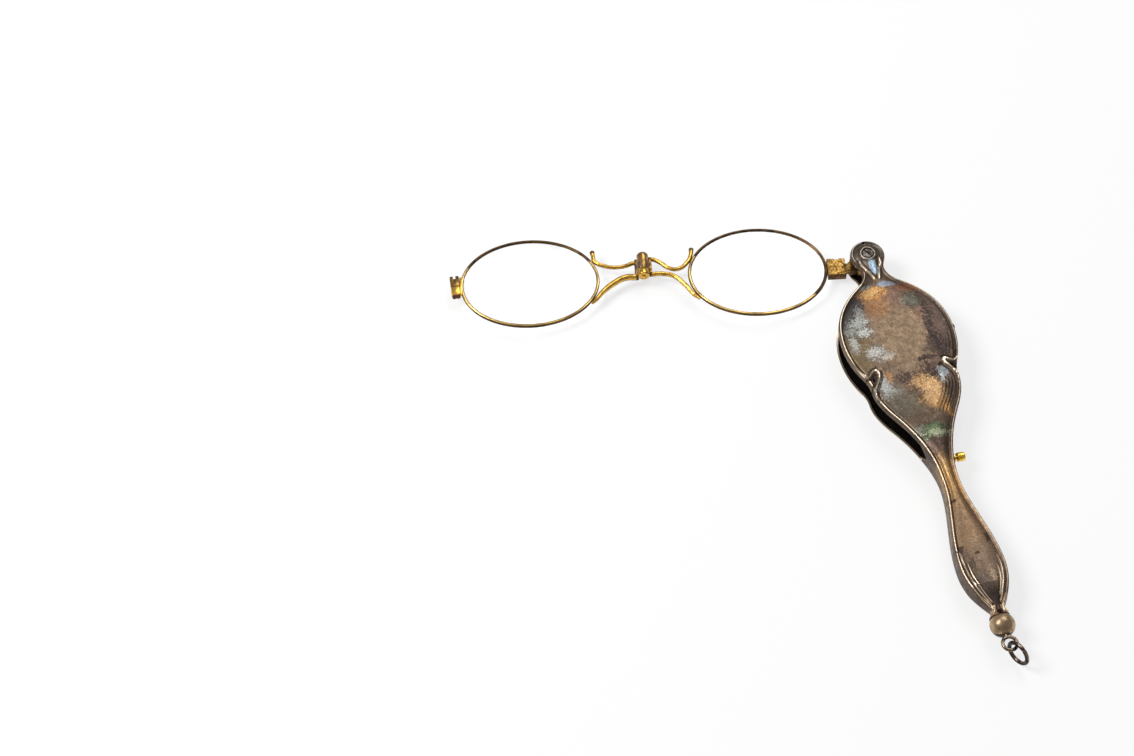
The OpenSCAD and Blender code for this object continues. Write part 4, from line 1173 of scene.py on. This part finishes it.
# painted shade on the sides and undersides of the wires
paint_shade_on_sides(far_wires, leaf_painted_shade, 0.05)
finish_where(far_wires, rim_dark, lambda p: p.dot(ACROSS) > 8.9)
print("wires", len(near_wires.data.polygons), len(far_wires.data.polygons))

# %% [markdown]
# The hinge of the bridge is a barrel with a rounded top, a short knuckle under it and a thin leaf on each
# side. Round parts are turned like on a lathe; the leaves are cubes with softened edges.

# %% Hinge barrel and knuckle
def block(u0, u1, v0, v1, z0, z1, soft=0.12, segments=2):
    """A cube along the arm with rounded edges."""
    bare()
    bpy.ops.mesh.primitive_cube_add(size=1, location=on_arm((u0 + u1) / 2, (v0 + v1) / 2, (z0 + z1) / 2),
                                    rotation=(0, 0, math.pi - ARM_TILT))
    piece = bpy.context.object
    piece.scale = ((u1 - u0) * MM, (v1 - v0) * MM, (z1 - z0) * MM)
    only(piece)
    bpy.ops.object.transform_apply(location=False, rotation=False, scale=True)
    return bevelled(piece, soft, segments)


BARREL_R, BARREL_V0, BARREL_V1, KNUCKLE = 1.62, -0.3, 7.5, 1.9
LEAF_TOP = HINGE_Z - 0.05
barrel_start = on_arm(HINGE_U, BARREL_V0 + KNUCKLE + 0.08, HINGE_Z)
barrel_length = BARREL_V1 - BARREL_V0 - KNUCKLE - 0.08
barrel_rows = [(0, 0), (0, BARREL_R - 0.12), (0.06, BARREL_R - 0.03), (0.15, BARREL_R)]
barrel_rows += [(barrel_length * 0.45, BARREL_R)]
barrel_rows += arc((barrel_length - 1.0, BARREL_R - 1.0), 1.0, 0, 90, 8) + [(barrel_length, 0)]
barrel = turned(barrel_rows, barrel_start, ACROSS)
settle(barrel, "barrel", "arm", barrel_gilt, ["hinge_barrel"])
near_leaf_plate = block(HINGE_U - 2.4, HINGE_U - 1.35, 1.9, 6.3, 1.8, LEAF_TOP, 0.12)
near_web = block(HINGE_U - 2.4, HINGE_U - 1.7, 1, 2.2, 1.8, 3.9, 0.1)
# painted shade on the sides of the leaf that turn away from the light
paint_shade_on_sides(settle(joined(near_leaf_plate, near_web), "near_leaf", "arm", gilt_dark), leaf_painted_shade, 0.6)
knuckle_rows = [(0, 0)] + arc((0.3, BARREL_R - 0.3), 0.3, -90, 0, 5)
knuckle_rows += [(KNUCKLE - 0.12, BARREL_R), (KNUCKLE - 0.04, BARREL_R - 0.05)]
knuckle_rows += [(KNUCKLE, BARREL_R - 0.12), (KNUCKLE, 0)]
knuckle = turned(knuckle_rows, on_arm(HINGE_U, BARREL_V0, HINGE_Z), ACROSS)
settle(knuckle, "knuckle", "far_half", gilt, ["hinge_collar"])
far_leaf_plate = block(HINGE_U + 1.66, HINGE_U + 2.3, 0, 5.8, 1.8, LEAF_TOP, 0.12)
far_web = block(HINGE_U + 1.3, HINGE_U + 1.9, 0, 1.45, 1.9, 3.9, 0.1)
# painted shade on the sides of the leaf that turn away from the light
paint_shade_on_sides(settle(joined(far_leaf_plate, far_web), "far_leaf", "far_half", gilt_dark), leaf_painted_shade, 0.6)
print("bridge hinge made")

# %% [markdown]
# ## Joints that close the rims
# The near joint is a split block with a notch filed in its top edge; the far joint is a flat tube in two
# halves with a rusty screw. Both are cubes and copies with their edges softened.

# %% Near joint block
BLOCK_U0, BLOCK_U1, JOINT_V, BLOCK_Z0, BLOCK_Z1 = 5.6, 10.62, -0.2, 1.4, 3.9
upper_block = block(BLOCK_U0, BLOCK_U1, JOINT_V + 0.01, JOINT_V + 2.7, BLOCK_Z0, BLOCK_Z1, 0.07, 2)
bare()
notch_place = on_arm(BLOCK_U0 + 2.3, JOINT_V + 2.45, BLOCK_Z1 + 0.25)
bpy.ops.mesh.primitive_cube_add(size=1.3 * MM, location=notch_place, rotation=(0, 0, math.pi / 4 - ARM_TILT))
cut_away(upper_block, bpy.context.object)
cut_away(upper_block, block(BLOCK_U0 - 1, BLOCK_U1 + 1, 1.5, 1.68, BLOCK_Z1 - 0.16, BLOCK_Z1 + 1, 0.01, 1))
# painted shade on the sides of the block that turn away from the light
paint_shade_on_sides(settle(upper_block, "upper_block", "arm", block_gilt, ["near_joint_upper"]), leaf_painted_shade, 0.5)
lower_block = block(BLOCK_U0, BLOCK_U1, JOINT_V - 2.7, JOINT_V - 0.01, BLOCK_Z0, BLOCK_Z1, 0.07, 2)
# painted shade on the sides of the block that turn away from the light
paint_shade_on_sides(settle(lower_block, "lower_block", "arm", block_gilt, ["near_joint_lower"]), leaf_painted_shade, 0.5)
print("block", round(BLOCK_U1 - BLOCK_U0, 2), "mm long")

# %% [markdown]
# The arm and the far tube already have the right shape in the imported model, only with edges like knives. So
# copies of them are rounded, and a small plate of solder fills the corner between the far rim and its tube.

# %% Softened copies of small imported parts
def softened(name, body, finish, width, angle=35):
    """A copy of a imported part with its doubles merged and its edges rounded."""
    bare()
    piece = copied(frame["nodes"][name])
    only(piece)
    bpy.ops.object.mode_set(mode="EDIT")
    bpy.ops.mesh.select_all(action="SELECT")
    bpy.ops.mesh.remove_doubles(threshold=1e-6)
    bpy.ops.object.mode_set(mode="OBJECT")
    piece.data.materials.clear()
    bevelled(piece, width, 2, angle)
    return settle(piece, name + "_soft", body, finish, [name])


softened("pivot_arm", "arm", gilt_dark, 0.12)
softened("far_joint_upper", "far_half", gilt_dark, 0.1)
softened("far_joint_lower", "far_half", gilt, 0.1)
FAR_END_U = 111.4
solder = block(FAR_END_U, FAR_END_U + 0.7, -2.9, 2.9, 2.5, 3.6, 0.1)
settle(solder, "far_solder", "far_half", gilt)
print("joints made")

# %% [markdown]
# ## Screws, button, ball, eye and ring
# Everything round is turned. The pivot screw is a shank with a low head, and its slot is sawn by a long thin
# box, turned to the angle at which the real one stopped.

# %% Pivot screw
screw = turned([(0, 0), (0, 0.9), (8.0, 0.9), (8.17, 0.9), (8.17, 1.5), (8.5, 1.5)]
               + arc((8.5, 1.3), 0.2, 0, 90, 4) + [(8.7, 0)], at(0, 0, 0.35), UP, 48)
bare()
bpy.ops.mesh.primitive_cube_add(size=1, location=at(0, 0, 9.05), rotation=(0, 0, math.radians(120)))
saw = bpy.context.object
saw.scale = (4 * MM, 0.42 * MM, 0.7 * MM)
only(saw)
bpy.ops.object.transform_apply(location=False, rotation=False, scale=True)
cut_away(screw, saw)
settle(screw, "pivot_screw_turned", "case", steel, ["pivot_screw"])
# painted shade in the slot and under the head of the screw
finish_where(screw, painted_inside_shade, lambda p: p.z < 8.95)
print("screw", len(screw.data.polygons), "faces")

# %% [markdown]
# The button is a short round cap that is pressed into the handle's edge to free the lenses. Fingers keep it
# bright. A fine groove near its outer end comes from two close rows of the profile.

# %% Button
BUTTON_Y, BUTTON_R, BUTTON_LEN = -65.54, 1.2, 2.1
CAP_X = min(corner[0] for corner in frame["nodes"]["button_cap"].bound_box) / MM
cap_rows = [(0, 0), (0, BUTTON_R - 0.2), (0.05, BUTTON_R - 0.06), (0.15, BUTTON_R), (0.9, BUTTON_R),
            (0.98, BUTTON_R - 0.07), (1.06, BUTTON_R)]
cap_rows += arc((BUTTON_LEN - 0.3, BUTTON_R - 0.3), 0.3, 0, 90, 5) + [(BUTTON_LEN, 0)]
cap = turned(cap_rows, at(CAP_X, BUTTON_Y, SEAM_Z), SIDE, 40)
settle(cap, "button_turned", "button", button_gilt, ["button_cap"])
print("button at", round(CAP_X, 2))

# %% [markdown]
# The ball is soldered to the lower end by a collar that flares where it meets the handle. One profile,
# turned round the handle's axis, gives both.

# %% Ball with its collar
BALL_Y, BALL_R = -113.5, 3.12
turns = np.radians(np.linspace(0, 134, 24))
ball_rows = [(-BALL_R * math.cos(turn), max(BALL_R * math.sin(turn), 0)) for turn in turns]
collar_rows = [(2.12, 2.36), (2.08, 2.5), (2.14, 2.6), (2.35, 2.52), (2.7, 2.24), (3.2, 1.98), (3.9, 1.84),
               (4.7, 1.86),
               (4.75, 0)]
ball = turned(ball_rows + collar_rows, at(0, BALL_Y, SEAM_Z), UP_HANDLE, 56)
settle(ball, "ball_turned", "case", ball_plate, ["ball_finial"], sharp=50)
# painted shade on the faces of the ball that point down and away from the handle
paint_shade_on_sides(ball, ring_painted_shade, -0.55, (0.1, 0.8, 0.6))
# painted shade in the groove between the two ridges on top of the collar
finish_where(ball, ring_painted_shade, lambda p: abs(p.x) < 0.7 and p.y > -111.4 and p.z > 5.5)
print("ball", 2 * BALL_R, "mm across")

# %% [markdown]
# The panel's two beads run on over the collar and flare out onto the ball. They are drawn as wires, swollen
# at the collar and thinner at both ends.

# %% Ridges over the collar
FLARE = [(3.2, -106.3, 6.75), (1.95, -108.1, 6.4), (1.25, -109.4, 6.3), (1.3, -110.4, 6.45),
         (1.85, -111.3, 6.6)]


def collar_ridge(side):
    """One bead that runs on over the collar, on the left or on the right."""
    return wire_through([at(side * x, y, z) for x, y, z in FLARE], [0.7, 1, 1.05, 1, 0.6], 0.9)


# the ridges get a lighter finish: painted highlight with wear, as on the panel's beads
settle(joined(collar_ridge(-1), collar_ridge(1)), "collar_ridges", "case", case_edge)
print("ridges over the collar made")

# %% [markdown]
# The eye and the ring are hoops of round wire. The ring was bent from a rod and its ends meet in a fine line,
# so the wire is a little thinner in one place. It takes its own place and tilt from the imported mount.

# %% Eye and ring
def hoop(centre, normal, radius, thickness, split=None, sides=96, around=16):
    """A round ring of wire; split is the angle in degrees of the line where its ends meet."""
    normal = np.array(normal) / np.linalg.norm(normal)
    first, second = square_to(normal)

    def place(row, column):
        t = 2 * np.pi * (row % sides) / sides
        q = 2 * np.pi * (column % around) / around
        slim = np.ones_like(t)
        if split is not None:
            slim = 1 - 0.35 * np.exp(-((np.degrees(t) - split) / 2.2) ** 2)
        out = np.cos(t)[:, None] * first + np.sin(t)[:, None] * second
        return (np.array(centre) + (out * (radius + thickness / 2 * slim * np.cos(q))[:, None]
                + np.outer(thickness / 2 * slim * np.sin(q), normal)) * MM)
    return wrapped(sides, around, place)


EYE_Y, EYE_Z, EYE_R = -118.84, 5.2, 1.75
eye = hoop(at(0, EYE_Y, EYE_Z), (0, 0, 1), EYE_R, 0.9)
eye_post = turned([(0, 0), (0, 0.5), (0.3, 0.6), (0.9, 0.66), (1.1, 0.66), (1.1, 0)],
                  at(0, EYE_Y + EYE_R, SEAM_Z + 0.25), UP_HANDLE, 32)
settle(joined(eye, eye_post), "eye_ring", "case", ring_plate, ["bail_eye"], sharp=60)
# painted shade on the faces of the eye that turn away from the light
paint_shade_on_sides(eye, ring_painted_shade, 0.0, (-0.3, 0.2, 0.9))
ring_mount = [m for m in frame["record"]["mounts"] if m["name"] == "ring_loop"][0]
ring = hoop(ring_mount["pos_m"], ring_mount["axis"], 2.875, 1.05, split=250)
settle(ring, "hanging_ring", "bail", ring_plate, ["bail_ring"], sharp=60)
# painted shade on the faces of the ring that turn away from the light
paint_shade_on_sides(ring, ring_painted_shade, 0.1, (0.5, 0.3, 0.8))
print("ring centre", ring_mount["pos_m"])

# %% [markdown]
# ## Floor and light
# A plain white table, lit softly. Light Path lets the camera, the metal and the glass see the floor almost
# white while it still takes the object's shadow.

# %% Floor
PAPER_GLOW = 0.7
bare()
bpy.ops.mesh.primitive_plane_add(size=6, location=(0, 0, -0.0002))
floor = bpy.context.object
floor.name = "floor"
paper, paper_tree, paper_shader = new_material("paper")
paper_shader.inputs["Base Color"].default_value = (0.93, 0.93, 0.93, 1)
paper_shader.inputs["Roughness"].default_value = 0.9
paper_shader.inputs["Specular IOR Level"].default_value = 0.1
glow = node(paper_tree, "Emission")
glow.inputs["Color"].default_value = (1, 1, 1, 1)
glow.inputs["Strength"].default_value = 1.0
path = node(paper_tree, "LightPath")
seen = maths(paper_tree, "MAXIMUM", path.outputs["Is Camera Ray"],
             maths(paper_tree, "MAXIMUM", path.outputs["Is Glossy Ray"], path.outputs["Is Transmission Ray"]))
lift = node(paper_tree, "MixShader")
feed(paper_tree, maths(paper_tree, "MULTIPLY", seen, PAPER_GLOW), lift.inputs[0])
paper_tree.links.new(paper_shader.outputs[0], lift.inputs[1])
paper_tree.links.new(glow.outputs[0], lift.inputs[2])
paper_tree.links.new(lift.outputs[0], paper_tree.nodes["Material Output"].inputs[0])
floor.data.materials.append(paper)
print("floor", floor.name)

# %% [markdown]
# Two soft boxes light the table, one from the left and a larger, weaker one from behind on the right. The
# world fills the shadows. The camera sees it white, but it lights the metal with much less.

# %% Light
WORLD_LIGHT = 0.26
world = bpy.data.worlds.new("studio")
bpy.context.scene.world = world
world.use_nodes = True
sky = world.node_tree
background = sky.nodes["Background"].inputs
background["Color"].default_value = (1, 1, 1, 1)
camera_ray = node(sky, "LightPath").outputs["Is Camera Ray"]
extra = maths(sky, "MULTIPLY", camera_ray, 1 - WORLD_LIGHT)
feed(sky, maths(sky, "ADD", WORLD_LIGHT, extra), background["Strength"])


def lamp(name, place, size, watts):
    """A square soft lamp that faces the middle of the table."""
    data = bpy.data.lights.new(name, "AREA")
    data.size = size
    data.energy = watts
    made = bpy.data.objects.new(name, data)
    made.location = place
    made.rotation_euler = (-Vector(place)).to_track_quat("-Z", "Y").to_euler()
    bpy.context.scene.collection.objects.link(made)


lamp("softbox_left", (-0.65, 0.15, 0.75), 0.4, 7.0)
lamp("softbox_far", (0.35, 0.6, 0.95), 0.7, 5.2)
bpy.context.scene.view_settings.view_transform = "Standard"
print("lamps", len(bpy.data.lights))
